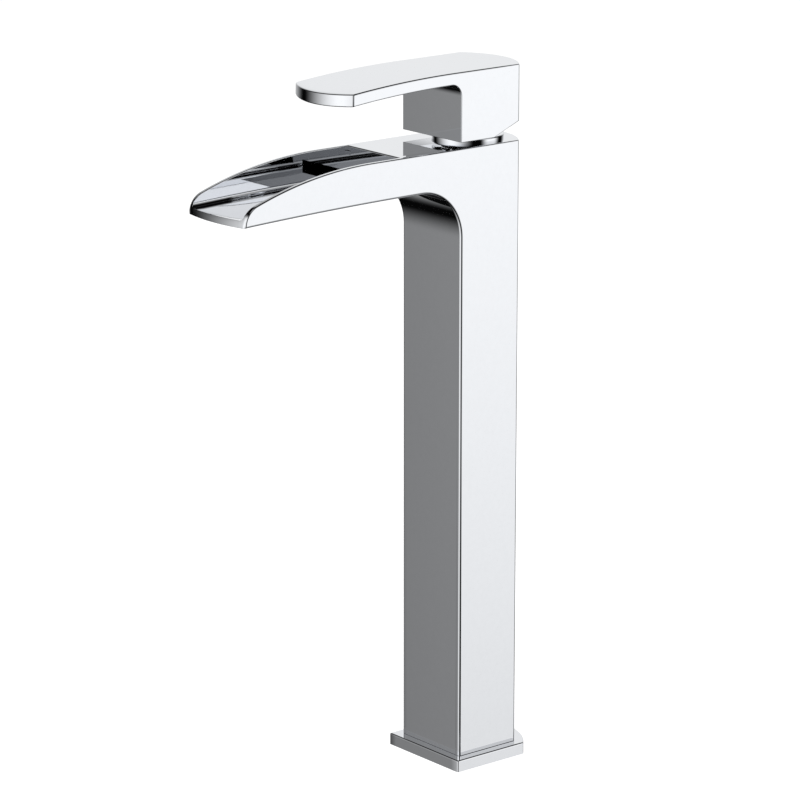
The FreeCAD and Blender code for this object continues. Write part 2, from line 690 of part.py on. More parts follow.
def make_handle_screw():
    """Grub screw through the handle's hub, tight on the stem's square."""
    tip = Vector(0, SQUARE_SIZE / 2, GRUB_LEVEL)
    screw = cylinder(GRUB_RADIUS, GRUB_LENGTH, tip, BACKWARD)
    return screw.cut(hex_prism(GRUB_KEY, GRUB_KEY_DEPTH, tip + BACKWARD * GRUB_LENGTH, -BACKWARD))


def make_screw_plug():
    """Plug over the grub screw, flush with the handle's curved back."""
    base = Vector(0, BACK - PLUG_DEPTH, GRUB_LEVEL)
    plug = cylinder(PLUG_RADIUS, 2 * PLUG_DEPTH, base, BACKWARD)
    return plug.common(bowed_plan(LEVER_LENGTH, LEVER_TIP_BULGE, HANDLE_FLOOR, HANDLE_TOP))


HOT, COLD = riser_places()
PARTS = {
    "body": make_body,
    "base_plate": make_base_plate,
    "base_gasket": lambda: gasket_band(RUNNING),
    "foot_block": make_foot_block,
    "foot_screws": make_foot_screws,
    "hot_riser": lambda: make_riser(HOT),
    "cold_riser": lambda: make_riser(COLD),
    "port_gasket": make_port_gasket,
    "cartridge_base": make_cartridge_base,
    "cartridge_housing": make_cartridge_housing,
    "fixed_disc": make_fixed_disc,
    "moving_disc": make_moving_disc,
    "disc_carrier": make_disc_carrier,
    "yoke": make_yoke,
    "pivot_pin": make_pivot_pin,
    "stem": make_stem,
    "retaining_nut": make_retaining_nut,
    "cap_ring": make_cap_ring,
    "handle": make_handle,
    "handle_screw": make_handle_screw,
    "screw_plug": make_screw_plug,
}

os.makedirs("parts", exist_ok=True)
for name, make in PARTS.items():
    shape = make()
    shape.exportStep("parts/" + name + ".step")
    print(name, len(shape.Solids), shape.isValid(), round(shape.Volume, 1))
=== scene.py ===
import json
import math

import bmesh
import bpy
from mathutils import Matrix, Vector


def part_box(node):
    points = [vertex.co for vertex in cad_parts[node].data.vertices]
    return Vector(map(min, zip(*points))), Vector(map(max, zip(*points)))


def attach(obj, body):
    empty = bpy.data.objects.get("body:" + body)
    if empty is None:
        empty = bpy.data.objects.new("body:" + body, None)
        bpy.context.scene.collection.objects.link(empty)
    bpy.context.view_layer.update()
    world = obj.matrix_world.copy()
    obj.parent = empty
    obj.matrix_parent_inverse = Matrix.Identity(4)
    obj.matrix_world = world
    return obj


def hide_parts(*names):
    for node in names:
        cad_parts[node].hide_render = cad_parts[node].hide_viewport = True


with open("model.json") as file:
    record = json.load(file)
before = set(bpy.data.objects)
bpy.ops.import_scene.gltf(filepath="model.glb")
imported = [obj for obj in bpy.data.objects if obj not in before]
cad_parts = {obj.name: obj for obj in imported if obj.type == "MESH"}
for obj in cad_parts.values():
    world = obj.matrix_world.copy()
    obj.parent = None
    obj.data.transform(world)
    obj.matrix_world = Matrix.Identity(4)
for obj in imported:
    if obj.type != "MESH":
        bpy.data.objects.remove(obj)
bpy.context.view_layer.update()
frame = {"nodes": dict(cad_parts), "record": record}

bl_info = {
    "name": "Waterfall Basin Mixer",
    "version": (1, 0, 0),
    "blender": (4, 5, 0),
    "location": "View3D > Sidebar > Mixer",
    "description": "Dresses the packed mixer: chromed casting, lever handle, plate, fittings and studio",
    "category": "Add Mesh",
}

MM = 0.001
QUARTER = math.pi / 2
_, PLATE_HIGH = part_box("base_plate")
_, BODY_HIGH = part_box("body")
HANDLE_LOW, HANDLE_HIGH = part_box("handle")
RING_LOW, RING_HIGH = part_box("cap_ring")
PLATE_OVERHANG = PLATE_HIGH.x - BODY_HIGH.x

# Fineness of the meshes
ROUND_STEPS = 5
FOOT_STEPS = 16
UNDERSIDE_STEPS = 37
ROOT_STEPS = 36
# Flat, arch and nose of a side wall; deck face, floor and lip of the channel. With the round of the
# lip's edge both give the same number of points.
WALL_STEPS = (8, 43, 28)
CHANNEL_STEPS = (6, 58, 10)
CHANNEL_ROWS = 10
# Points of a section on the deck, between the back and the round at the deck's front
DECK_POINTS = 2
LEVER_STEPS = 46
INNER_STEPS = 30
HANDLE_ROWS = 14
BACK_STEPS = 48
SIDE_STEPS = 12
PLUG_SIDES = 64
PLUG_SHARES = (0.75, 0.5, 0.25, 0.02)
ROD_SIDES = 96
RING_SIDES = 160
SCREW_BORE_SIDES = 32
HEAD_SIDES = 64
SHANK_SIDES = 48
HEXAGON = 6
MEETING_STEPS = 8

# Limits and small distances
SMOOTH_LIMIT = math.radians(32)
STRAIGHT = math.radians(88)
SLIGHT_BEND = 0.05
FLAT_SIDE = 0.99999
FLAT_AREA = 20e-6
MERGE_DISTANCE = 0.2e-6
SMALLEST_TRIM = MERGE_DISTANCE / 4
ROUND_REST = 0.06 * MM
OVERLAP = 0.05 * MM
PLAY = 0.05 * MM
FINE_EDGE = 0.1 * MM
CLIP_START = 0.01
# Height of the lip's plain front over its lower edge, in corner rounds
LIP_REST = 1.6


def length(name, description, default):
    return bpy.props.FloatProperty(
        name=name, description=description, default=default, min=0.0, precision=5, unit="LENGTH"
    )


def angle(name, description, degrees):
    return bpy.props.FloatProperty(
        name=name, description=description, default=math.radians(degrees), precision=4, unit="ROTATION"
    )


def colour(name, description, default):
    return bpy.props.FloatVectorProperty(
        name=name, description=description, default=default, size=3, min=0.0, max=1.0, subtype="COLOR"
    )


def spot(name, description, default):
    return bpy.props.FloatVectorProperty(
        name=name, description=description, default=default, size=3, precision=5, subtype="XYZ", unit="LENGTH"
    )


class MixerColumn(bpy.types.PropertyGroup):
    """Plan of the column, shared by the casting, the plate and the handle."""

    half_width: length("Half width", "Half of the column's width", BODY_HIGH.x)
    front: length("Front", "Distance of the front face ahead of the axis", 20.35 * MM)
    back: length("Back", "Distance of the back's middle behind the axis", PLATE_HIGH.y - PLATE_OVERHANG)
    back_radius: length("Back radius", "Radius of the curved back", 29.0 * MM)
    corner_round: length("Corner round", "Round along the column's standing edges", 1.0 * MM)
    edge_round: length("Edge round", "Round along the upper edges", 0.6 * MM)
    foot_round: length("Foot round", "Round along the column's lower edge", 0.25 * MM)
    wall: length("Wall", "Wall of the hollow column", 2.6 * MM)
    plate_overhang: length("Plate overhang", "How far the base plate stands out", PLATE_OVERHANG)
    plate_top: length("Plate top", "Height of the plate's upper face", PLATE_HIGH.z)
    spigot_inset: length("Spigot inset", "Gap in the plate, inside the column's outline", 4.5 * MM)
    gasket_inset: length("Gasket inset", "Rim outside the rubber band", 3.0 * MM)
    gasket_width: length("Gasket width", "Width of the groove for the rubber band", 2.5 * MM)
    gasket_depth: length("Gasket depth", "Depth of the groove for the rubber band", 1.5 * MM)


class MixerSpout(bpy.types.PropertyGroup):
    """Open waterfall spout, with lengths counted forward from the column's front face."""

    top: length("Top", "Height of the deck", BODY_HIGH.z)
    reach: length("Reach", "Length at the two corners of the lip", 116.7 * MM)
    lip_bulge: length("Lip bulge", "How far the lip bows forward in the middle", 2.14 * MM)
    depth: length("Depth", "Height of the spout at its root", 17.2 * MM)
    drop: length("Drop", "Fall of the underside towards the lip", 2.0 * MM)
    root_round: length("Root round", "Round between the column and the underside", 22.0 * MM)
    top_flat: length("Top flat", "Where the flat top turns into the arch", 49.0 * MM)
    lip_drop: length("Lip drop", "Fall of the arched side walls at the lip's corners", 12.7 * MM)
    nose_round: length("Nose round", "Round at the front of the side walls", 9.0 * MM)
    lip_round: length("Lip round", "Round along the edges of the lip", 0.12 * MM)
    wall: length("Wall", "Thickness of the two side walls", 2.2 * MM)
    wall_round: length("Wall round", "Round along the inner edge of the side walls", 0.35 * MM)
    floor: length("Floor", "Thickness of the channel's floor", 3.0 * MM)
    floor_round: length("Floor round", "Round along the foot of the side walls", 2.0 * MM)
    deck: length("Deck", "Length of the closed deck", 32.6 * MM)
    slot_width: length("Slot width", "Width of the water slot under the deck", 29.0 * MM)
    slot_height: length("Slot height", "Height of the water slot under the deck", 3.0 * MM)


class MixerHandle(bpy.types.PropertyGroup):
    """Block and flat lever in one casting."""

    floor: length("Floor", "Height of the block's front edge", HANDLE_LOW.z)
    heel_start: length("Heel start", "Where the floor turns up to the heel, ahead of the axis", 1.734 * MM)
    heel_top: length("Heel top", "Height of the block's rear edge", 295.0225 * MM)
    top: length("Top", "Height of the flat top", HANDLE_HIGH.z)
    reach: length("Reach", "Length of the lever at its two corners", 59.3 * MM)
    tip_bulge: length("Tip bulge", "How far the tip bows forward", 6.2 * MM)
    thickness: length("Thickness", "Thickness of the lever", 5.3 * MM)
    flat: length("Flat", "Where the flat top turns into the lever's arch", 2.5 * MM)
    arc: length("Arc", "Radius of the lever's arch", 540.0 * MM)
    inner_round: length("Inner round", "Round between block and lever", 5.2 * MM)
    rim_round: length("Rim round", "Round along the upper rim", 0.65 * MM)
    side_round: length("Side round", "Round along the block's front and lower edges", 0.3 * MM)
    under_round: length("Under round", "Round along the lever's lower edges", 0.55 * MM)
    wall: length("Wall", "Wall round the hollow under the block", 3.2 * MM)
    roof: length("Roof", "Thickness above the hollow", 7.8 * MM)
    mouth: length("Mouth", "Radius of the opening round the stem", 7.5 * MM)
    hub: length("Hub", "Width of the hub round the stem's square", 14.0 * MM)
    hub_floor: length("Hub floor", "Height of the hub's lower face", 293.2 * MM)
    neck: length("Neck", "Radius of the neck from the hub to the back", 4.5 * MM)
    square: length("Square", "Width of the socket for the stem's square", 8.1 * MM)
    socket_top: length("Socket top", "Height where the stem's socket ends", 307.0 * MM)
    thread: length("Thread", "Radius of the grub screw's bore", 2.55 * MM)
    screw_level: length("Screw level", "Height of the grub screw's axis", 302.0 * MM)
    plug_radius: length("Plug radius", "Radius of the plug over the grub screw", 3.5 * MM)
    plug_depth: length("Plug depth", "Depth of the plug", 3.0 * MM)


class MixerFittings(bpy.types.PropertyGroup):
    """Bores in the casting and the turned fittings."""

    ring_radius: length("Ring radius", "Outer radius of the cap ring", RING_HIGH.x)
    ring_bore: length("Ring bore", "Bore of the cap ring", 11.4 * MM)
    ring_top: length("Ring top", "Height of the ring's upper face", RING_HIGH.z)
    ring_foot: length("Ring foot", "Height of the skirt's lower edge", RING_LOW.z)
    ring_round: length("Ring round", "Round along the ring's upper edges", 0.8 * MM)
    nut_radius: length("Nut radius", "Radius of the threaded nut bore", 14.1 * MM)
    shoulder: length("Shoulder", "Height of the shoulder under the nut", 268.6 * MM)
    bore_radius: length("Bore radius", "Radius of the cartridge bore", 12.6 * MM)
    seat: length("Seat", "Height of the cartridge seat", 246.05 * MM)
    hollow_top: length("Hollow top", "Height where the hollow column ends", 232.05 * MM)
    tube_radius: length("Tube radius", "Outer radius of the supply tubes", 5.0 * MM)
    tube_wall: length("Tube wall", "Wall of the supply tubes", 0.7 * MM)
    tube_spacing: length("Tube spacing", "Distance between the supply tubes", 14.0 * MM)
    tube_ahead: length("Tube ahead", "Distance of the supply tubes ahead of the axis", 3.8 * MM)
    screw_head: length("Screw head", "Radius of the foot screws' heads", 3.5 * MM)
    screw_head_height: length("Screw head height", "Height of the foot screws' heads", 4.0 * MM)
    screw_radius: length("Screw radius", "Radius of the foot screws", 2.0 * MM)
    screw_key: length("Screw key", "Width of the hexagonal socket", 3.0 * MM)
    screw_key_depth: length("Screw key depth", "Depth of the hexagonal socket", 2.0 * MM)
    boss: length("Boss", "Width of the bosses for the foot screws", 8.6 * MM)
    boss_floor: length("Boss floor", "Height of the bosses' lower faces", 18.0 * MM)
    boss_height: length("Boss height", "Height of the bosses", 14.0 * MM)
    boss_inset: length("Boss inset", "From the column's inner walls to the bosses' middles", 3.9 * MM)
    gallery_wall: length("Gallery wall", "Wall ahead of the water gallery", 2.35 * MM)
    gallery_depth: length("Gallery depth", "Depth of the water gallery", 2.4 * MM)
    gallery_width: length("Gallery width", "Width of the water gallery", 16.0 * MM)
    duct_roof: length("Duct roof", "From the water duct up to the seat", 1.4 * MM)
    duct_height: length("Duct height", "Height of the water duct", 3.2 * MM)
    duct_width: length("Duct width", "Width of the water duct", 2.8 * MM)
    outlet_radius: length("Outlet radius", "Radius of the outlet in the seat", 2.6 * MM)
    outlet_behind: length("Outlet behind", "Distance of the outlet behind the axis", 2.2 * MM)
    port_radius: length("Port radius", "Radius of the inlet ports in the seat", 1.9 * MM)
    port_spacing: length("Port spacing", "Distance between the inlet ports", 8.4 * MM)
    socket_roof: length("Socket roof", "From the tubes' sockets up to the seat", 5.2 * MM)


class MixerColours(bpy.types.PropertyGroup):
    """Colours of the finishes."""

    chrome: colour("Chrome", "Polished chrome plating", (0.922, 0.932, 0.954))
    brass: colour("Brass", "Machined brass", (0.72, 0.56, 0.28))
    copper: colour("Copper", "Drawn copper tube", (0.72, 0.43, 0.29))
    steel: colour("Steel", "Bright steel", (0.6, 0.6, 0.62))
    rubber: colour("Rubber", "Black rubber", (0.03, 0.03, 0.03))
    cartridge_shell: colour("Cartridge shell", "Grey moulded shell", (0.32, 0.34, 0.36))
    slider_plastic: colour("Slider plastic", "Pale moulded slider", (0.85, 0.85, 0.82))
    ceramic: colour("Ceramic", "Lapped ceramic", (0.93, 0.92, 0.88))


class MixerStudio(bpy.types.PropertyGroup):
    """Camera, floor and light."""

    azimuth: angle("Azimuth", "Camera's direction round the column, from the front to the right", 50.808)
    elevation: angle("Elevation", "Camera's height above the horizon", 14.886)
    distance: length("Distance", "Camera's distance from its target", 1.76748)
    target: spot("Target", "Point in the middle of the picture", (-0.05024, 0.00271, 0.15301))
    lens: bpy.props.FloatProperty(
        name="Lens", description="Focal length on the sensor", default=173.931, unit="CAMERA"
    )
    sensor: bpy.props.FloatProperty(
        name="Sensor", description="Width of the camera's sensor", default=36.0, unit="CAMERA"
    )
    floor_size: length("Floor size", "Width of the floor", 8.0)
    key_power: bpy.props.FloatProperty(
        name="Key power", description="Power of the soft lamp overhead", default=26.0, unit="POWER"
    )
    key_size: length("Key size", "Width of the soft lamp overhead", 1.4)
    key_place: spot("Key place", "Place of the soft lamp overhead", (-0.25, -0.2, 1.7))


# Mesh helpers

def new_object(name, mesh):
    item = bpy.data.objects.new(name, mesh)
    bpy.context.scene.collection.objects.link(item)
    return item


def object_from_bmesh(name, shape):
    mesh = bpy.data.meshes.new(name)
    shape.to_mesh(mesh)
    shape.free()
    return new_object(name, mesh)


def evaluated_mesh(item):
    bpy.context.view_layer.update()
    graph = bpy.context.evaluated_depsgraph_get()
    return bpy.data.meshes.new_from_object(item.evaluated_get(graph))


def combine(item, others, operation):
    """Unites the others with an item or cuts them out of it, one after another, and removes them."""
    for other in others:
        modifier = item.modifiers.new("combine", "BOOLEAN")
        modifier.operation = operation
        modifier.solver = "EXACT"
        modifier.object = other
        mesh = evaluated_mesh(item)
        item.modifiers.clear()
        old = item.data
        item.data = mesh
        bpy.data.meshes.remove(old)
        bpy.data.objects.remove(other)
    return item


def block(low, high):
    """Closed box between two corners, for cutting."""
    shape = bmesh.new()
    bmesh.ops.create_cube(shape, size=1.0)
    low, high = Vector(low), Vector(high)
    for vertex in shape.verts:
        vertex.co = [low[k] + (vertex.co[k] + 0.5) * (high[k] - low[k]) for k in range(3)]
    return object_from_bmesh("cutter", shape)


def rod(radius, start, end, sides=ROD_SIDES):
    """Closed cylinder between two points, for cutting."""
    start, end = Vector(start), Vector(end)
    turn = (end - start).to_track_quat("Z", "Y").to_matrix().to_4x4()
    place = Matrix.Translation((start + end) / 2) @ turn
    shape = bmesh.new()
    bmesh.ops.create_cone(
        shape, cap_ends=True, segments=sides, radius1=radius, radius2=radius,
        depth=(end - start).length, matrix=place,
    )
    return object_from_bmesh("cutter", shape)


def loft(name, rings, soft_rings=(), soft_sides=(), closed=False):
    """Skin over rings of equal length. Faces of small rounds are marked by the second material slot."""
    shape = bmesh.new()
    count = len(rings[0])
    rows = [[shape.verts.new(point) for point in ring] for ring in rings]
    pairs = len(rows) if closed else len(rows) - 1
    for row in range(pairs):
        first, second = rows[row], rows[(row + 1) % len(rows)]
        for side in range(count):
            after = (side + 1) % count
            face = shape.faces.new((first[side], first[after], second[after], second[side]))
            face.material_index = int(row in soft_rings or side in soft_sides)
    if not closed:
        shape.faces.new(rows[0])
        shape.faces.new(rows[-1])
    bmesh.ops.remove_doubles(shape, verts=shape.verts, dist=MERGE_DISTANCE)
    bmesh.ops.dissolve_degenerate(shape, edges=shape.edges, dist=MERGE_DISTANCE)
    caps = [face for face in shape.faces if len(face.verts) > 4]
    bmesh.ops.triangulate(shape, faces=caps, ngon_method="EAR_CLIP")
    bmesh.ops.recalc_face_normals(shape, faces=shape.faces)
    return object_from_bmesh(name, shape)


def mirrored_loft(name, rings, soft_rings, soft_sides):
    """Skin over rings from the right side to the middle and on to their mirror images. Two empty
    material slots keep the marks of its small rounds while hollows are cut."""
    others = [[(-x, y, z) for x, y, z in ring] for ring in reversed(rings[:-1])]
    last = len(rings) + len(others) - 2
    item = loft(name, rings + others, soft_rings | {last - row for row in soft_rings}, soft_sides)
    for _ in range(2):
        item.data.materials.append(None)
    return item


def finish_surface(item, material):
    """Smooth shading, broken at real edges and where a small round meets its neighbour."""
    shape = bmesh.new()
    shape.from_mesh(item.data)
    for face in shape.faces:
        lengthwise = abs(face.normal.y) > FLAT_SIDE and face.calc_area() > FLAT_AREA
        face.smooth = abs(face.normal.x) < FLAT_SIDE and not lengthwise
    for edge in shape.edges:
        faces = edge.link_faces
        marks = {face.material_index for face in faces}
        edge.smooth = len(marks) == 1 and edge.calc_face_angle(0.0) < SMOOTH_LIMIT
    for face in shape.faces:
        face.material_index = 0
    shape.to_mesh(item.data)
    shape.free()
    item.data.materials.clear()
    item.data.materials.append(material)


def settle(item, body, slot, *nodes):
    """Finishes a piece and rides it on its body, in place of the nodes that it stands for."""
    finish_surface(item, finish_named(slot))
    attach(item, body)
    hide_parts(*nodes)


# Outlines of sections

def arc_line(centre, radius, start, end, steps):
    """Points of an arc from one angle to another, both ends included."""
    points = []
    for step in range(steps + 1):
        turn = start + (end - start) * step / steps
        points.append((centre[0] + radius * math.cos(turn), centre[1] + radius * math.sin(turn)))
    return points


def spread(start, end, steps):
    """Evenly spaced values from start to end, without the start."""
    return [start + (end - start) * step / steps for step in range(1, steps + 1)]


def quarter(steps):
    """Angles of a quarter turn in even steps, both ends included."""
    return [QUARTER * step / steps for step in range(steps + 1)]


def rounded_corner(before, corner, after, trim, drawn):
    """Arc that leaves both legs at the trim distance from the corner, less what the legs are drawn in."""
    leg_in = (before - corner).normalized()
    leg_out = (after - corner).normalized()
    shares = [step / ROUND_STEPS for step in range(ROUND_STEPS + 1)]
    half = leg_in.angle(leg_out) / 2
    if half > STRAIGHT:
        return [corner + leg_in.lerp(leg_out, share) * trim for share in shares]
    trim = max(trim - drawn / math.tan(half), SMALLEST_TRIM)
    inwards = (leg_in + leg_out).normalized() / math.cos(half)
    first, last = leg_in - inwards, leg_out - inwards
    return [corner + (inwards + first.slerp(last, share)) * trim for share in shares]


class Outline:
    """Closed section outline. Each point has the side round of the edge that follows it, a round of
    its own where it is a corner, and a drop at the piece's side where it lies on the curved back."""

    def __init__(self):
        self.points = []

    def add(self, y, z, side, trim=None, drop=None):
        self.points.append((Vector((y, z)), side, trim, drop))

    def build(self, share=0.0):
        """Places, side rounds and drops of the outline drawn in by a share of its side rounds, and
        the indices of its small rounds."""
        sides = [point[1] for point in self.points]
        shifts = side_shift([point[0] for point in self.points], sides)
        corners = []
        for (place, _, _, drop), shift in zip(self.points, shifts):
            corners.append(place + (shift if drop is None else Vector((0.0, -drop))) * share)
        places, edges, drops, soft = [], [], [], set()
        for index, (_, side, trim, drop) in enumerate(self.points):
            run = [corners[index]]
            if trim is not None:
                before, after = corners[index - 1], corners[(index + 1) % len(corners)]
                drawn = (sides[index - 1] + side) / 2 if drop is None else drop
                run = rounded_corner(before, corners[index], after, trim, drawn * share)
                soft |= set(range(len(places), len(places) + ROUND_STEPS))
            places += run
            edges += [max(sides[index - 1], side)] * len(run)
            drops += [drop] * len(run)
        return places, edges, drops, soft


def side_shift(places, sides):
    """Way that each outline point moves when all edges draw in by their own round."""
    area = sum(a.x * b.y - b.x * a.y for a, b in zip(places, places[1:] + places[:1]))
    shifts = []
    for index, place in enumerate(places):
        edge_in = (place - places[index - 1]).normalized()
        edge_out = (places[(index + 1) % len(places)] - place).normalized()
        normals = []
        for edge in (edge_in, edge_out):
            inward = Vector((-edge.y, edge.x))
            normals.append(inward if area > 0 else -inward)
        round_in, round_out = sides[index - 1], sides[index]
        bend = normals[0].cross(normals[1])
        if abs(bend) < SLIGHT_BEND:
            shifts.append((normals[0] + normals[1]).normalized() * (round_in + round_out) / 2)
        else:
            x = (round_in * normals[1].y - round_out * normals[0].y) / bend
            y = (round_out * normals[0].x - round_in * normals[1].x) / bend
            shifts.append(Vector((x, y)))
    return shifts


def back_line(column, x):
    """The curved back's y at a place across."""
    centre = column.back - column.back_radius
    return centre + math.sqrt(column.back_radius ** 2 - x ** 2)


def bow(half_width, bulge, x):
    """How far a bowed front stands ahead of its corners at a place across."""
    radius = (half_width ** 2 + bulge ** 2) / (2 * bulge)
    return math.sqrt(radius ** 2 - x ** 2) - radius + bulge


def corner_station(column, turn):
    """Place on the rounded rear corner; a turn of 0 faces sideways and 1 meets the curved back."""
    inner = column.half_width - column.corner_round
    centre = column.back - column.back_radius
    rise = math.sqrt((column.back_radius - column.corner_round) ** 2 - inner ** 2)
    facing = turn * math.atan2(rise, inner)
    x = inner + column.corner_round * math.cos(facing)
    return x, centre + rise + column.corner_round * math.sin(facing)


def side_rings(column, outline):
    """Rings that round a piece off from its flat right side inwards."""
    rings = []
    nominal = back_line(column, column.half_width)
    for step in range(ROUND_STEPS + 1):
        taper = step / ROUND_STEPS
        swing = QUARTER * (1 - taper)
        places, edges, drops, soft = outline.build(1 - math.cos(swing))
        back_x, back_y = corner_station(column, taper)
        ring = []
        for (y, z), edge, drop in zip(places, edges, drops):
            if drop is None:
                ring.append((column.half_width - edge * (1 - math.sin(swing)), y, z))
            else:
                ring.append((back_x, y + back_y - nominal, z))
        rings.append(ring)
    return rings, soft


def flat_ring(outline, x):
    places, _, _, _ = outline.build()
    return [(x, y, z) for y, z in places]


# Casting: column and spout

def underside(spout, s, lift=0.0):
    """Height of the gently falling underside, or of a line parallel to it."""
    run = spout.reach - spout.root_round
    radius = (run ** 2 + spout.drop ** 2) / (2 * spout.drop)
    level = spout.top - spout.depth
    return level - radius + math.sqrt((radius + lift) ** 2 - (s - spout.root_round) ** 2)


def arch_radius(spout):
    run = spout.reach - spout.top_flat
    return (run ** 2 + spout.lip_drop ** 2) / (2 * spout.lip_drop)


def nose_centre(spout, front):
    """Centre of the nose's round, which touches the arch from inside and ends at the front."""
    s, radius = front - spout.nose_round, arch_radius(spout)
    rise = math.sqrt((radius - spout.nose_round) ** 2 - (s - spout.top_flat) ** 2)
    return s, spout.top - radius + rise


def nose_turn(spout, centre, lift=0.0):
    """Angle on the nose's round where it meets the underside, or a line parallel to it."""
    s = centre[0] + spout.nose_round
    for _ in range(MEETING_STEPS):
        turn = math.asin((underside(spout, s, lift) - centre[1]) / spout.nose_round)
        s = centre[0] + spout.nose_round * math.cos(turn)
    return turn


def on_nose(spout, centre, turn):
    return centre[0] + spout.nose_round * math.cos(turn), centre[1] + spout.nose_round * math.sin(turn)


def wall_top(spout, centre, end):
    """Upper line of a side wall as (s, z): flat, arch and nose, down to an angle on the nose."""
    flat_steps, arch_steps, nose_steps = WALL_STEPS
    radius = arch_radius(spout)
    low = spout.top - radius
    start = math.atan2(centre[1] - low, centre[0] - spout.top_flat)
    points = [(s, spout.top) for s in spread(spout.deck + spout.wall, spout.top_flat, flat_steps)]
    points += arc_line((spout.top_flat, low), radius, QUARTER, start, arch_steps)[1:]
    points += arc_line(centre, spout.nose_round, start, end, nose_steps)[1:]
    return points


def channel_line(spout, centre, end, rise):
    """Deck face and channel floor as (s, z) up to the lip's edge, and the lip's front below it."""
    face_steps, floor_steps, lip_steps = CHANNEL_STEPS
    floor = spout.floor + rise
    foot = underside(spout, spout.deck, floor)
    turn = nose_turn(spout, centre, floor)
    reach, _ = on_nose(spout, centre, turn)
    points = [(spout.deck, z) for z in spread(spout.top - spout.wall, foot, face_steps)]
    points += [(s, underside(spout, s, floor)) for s in spread(spout.deck, reach, floor_steps)]
    return points, arc_line(centre, spout.nose_round, turn, end, lip_steps)[1:]


def casting_section(column, spout, x, rise=None):
    """Section of the casting at a place across. Without a rise it runs through a side wall, and
    with one through the channel, whose floor is lifted by that much."""
    outline = Outline()
    front = spout.reach + bow(column.half_width, spout.lip_bulge, x)
    centre = nose_centre(spout, front)
    lip_turn = nose_turn(spout, centre)
    corner, edge = column.corner_round, column.edge_round
    end = lip_turn + LIP_REST * corner / spout.nose_round

    def add(s, z, side, trim=None):
        outline.add(-column.front - s, z, side, trim)

    lip = on_nose(spout, centre, lip_turn)
    add(*lip, corner, spout.lip_round)
    for s in spread(lip[0], spout.root_round, UNDERSIDE_STEPS)[:-1]:
        add(s, underside(spout, s), corner)
    level = spout.top - spout.depth
    root = (spout.root_round, level - spout.root_round)
    for s, z in arc_line(root, spout.root_round, QUARTER, math.pi, ROOT_STEPS):
        add(s, z, corner)
    add(0.0, root[1] - corner, corner)
    foot = column.foot_round
    add(0.0, column.plate_top, foot, foot)
    back = back_line(column, x)
    outline.add(back, column.plate_top, corner, drop=-foot)
    outline.add(back, spout.top, edge, edge, drop=edge)
    for s in (-column.front, 0.0):
        add(s, spout.top, edge)
    add(spout.deck, spout.top, edge, edge)
    if rise is None:
        for s, z in wall_top(spout, centre, end):
            add(s, z, edge)
    else:
        points, lip_front = channel_line(spout, centre, end, rise)
        for s, z in points[:-1]:
            add(s, z, edge)
        add(*points[-1], edge, spout.lip_round)
        for s, z in lip_front:
            add(s, z, edge)
    return outline


def lip_sill(column, spout, x):
    """Height on the nose where the lip's front ends and the side wall's front begins."""
    centre = nose_centre(spout, spout.reach + bow(column.half_width, spout.lip_bulge, x))
    return on_nose(spout, centre, nose_turn(spout, centre, spout.floor + spout.floor_round))[1]


def casting_skin(column, spout):
    """Column and spout as one skin, ring by ring from the right side to the left."""
    inner = column.half_width - spout.wall
    rings, soft_sides = side_rings(column, casting_section(column, spout, column.half_width))
    soft_rings = set(range(ROUND_STEPS))
    for x in (column.half_width - column.corner_round - ROUND_REST, inner + spout.wall_round + ROUND_REST):
        rings.append(flat_ring(casting_section(column, spout, x), x))
    round_start = len(rings)
    for swing in quarter(ROUND_STEPS):
        x = inner + spout.wall_round * (1 - math.sin(swing))
        places, _, drops, _ = casting_section(column, spout, x).build()
        shifts = side_shift(places, [spout.wall_round] * len(places))
        last_back = max(index for index, drop in enumerate(drops) if drop is not None)
        wall_start = last_back + DECK_POINTS + ROUND_STEPS + 1
        sill = lip_sill(column, spout, x)
        ring = []
        for index, place in enumerate(places):
            share = min(max((place.y - sill) / spout.floor_round, 0.0), 1.0) if index > wall_start else 0.0
            ring.append((x, *(place + shifts[index] * (1 - math.cos(swing)) * share)))
        rings.append(ring)
    soft_rings |= set(range(round_start, len(rings) - 1))
    foot_start = len(rings)
    for swing in quarter(FOOT_STEPS):
        x = inner - spout.floor_round * (1 - math.cos(swing))
        rise = spout.floor_round * (1 - math.sin(swing))
        rings.append(flat_ring(casting_section(column, spout, x, rise), x))
    soft_rings |= set(range(foot_start, len(rings) - 1))
    for x in spread(inner - spout.floor_round, 0.0, CHANNEL_ROWS):
        rings.append(flat_ring(casting_section(column, spout, x, 0.0), x))
    return mirrored_loft("mixer_body", rings, soft_rings, soft_sides)


def plan_ring(column, grow, z, corner=0.0):
    """The column's plan, grown outwards all round, at one level. The front corners can be round."""
    half = column.half_width + grow
    radius = column.back_radius + grow
    centre = column.back - column.back_radius
    turn = math.asin(half / radius)
    front = -column.front - grow
    right = [(half - corner, front)]
    for swing in quarter(ROUND_STEPS)[1:] if corner else ():
        right.append((half - corner * (1 - math.sin(swing)), front + corner * (1 - math.cos(swing))))
    rear = centre + radius * math.cos(turn)
    right += [(half, y) for y in spread(front + corner, rear, SIDE_STEPS)[:-1]]
    back = []
    for facing in [turn] + spread(turn, -turn, BACK_STEPS):
        back.append((radius * math.sin(facing), centre + radius * math.cos(facing)))
    left = [(-x, y) for x, y in reversed(right)]
    across = [(x, front) for x in spread(corner - half, half - corner, SIDE_STEPS)[:-1]]
    return [(x, y, z) for x, y in right + back + left + across]


def plan_block(column, grow, low, high):
    return loft("cutter", [plan_ring(column, grow, low), plan_ring(column, grow, high)])


def boss_places(column, fittings):
    """Middles of the two bosses in the column's front corners."""
    inset = column.wall + fittings.boss_inset
    return [(side * (column.half_width - inset), inset - column.front) for side in (-1, 1)]


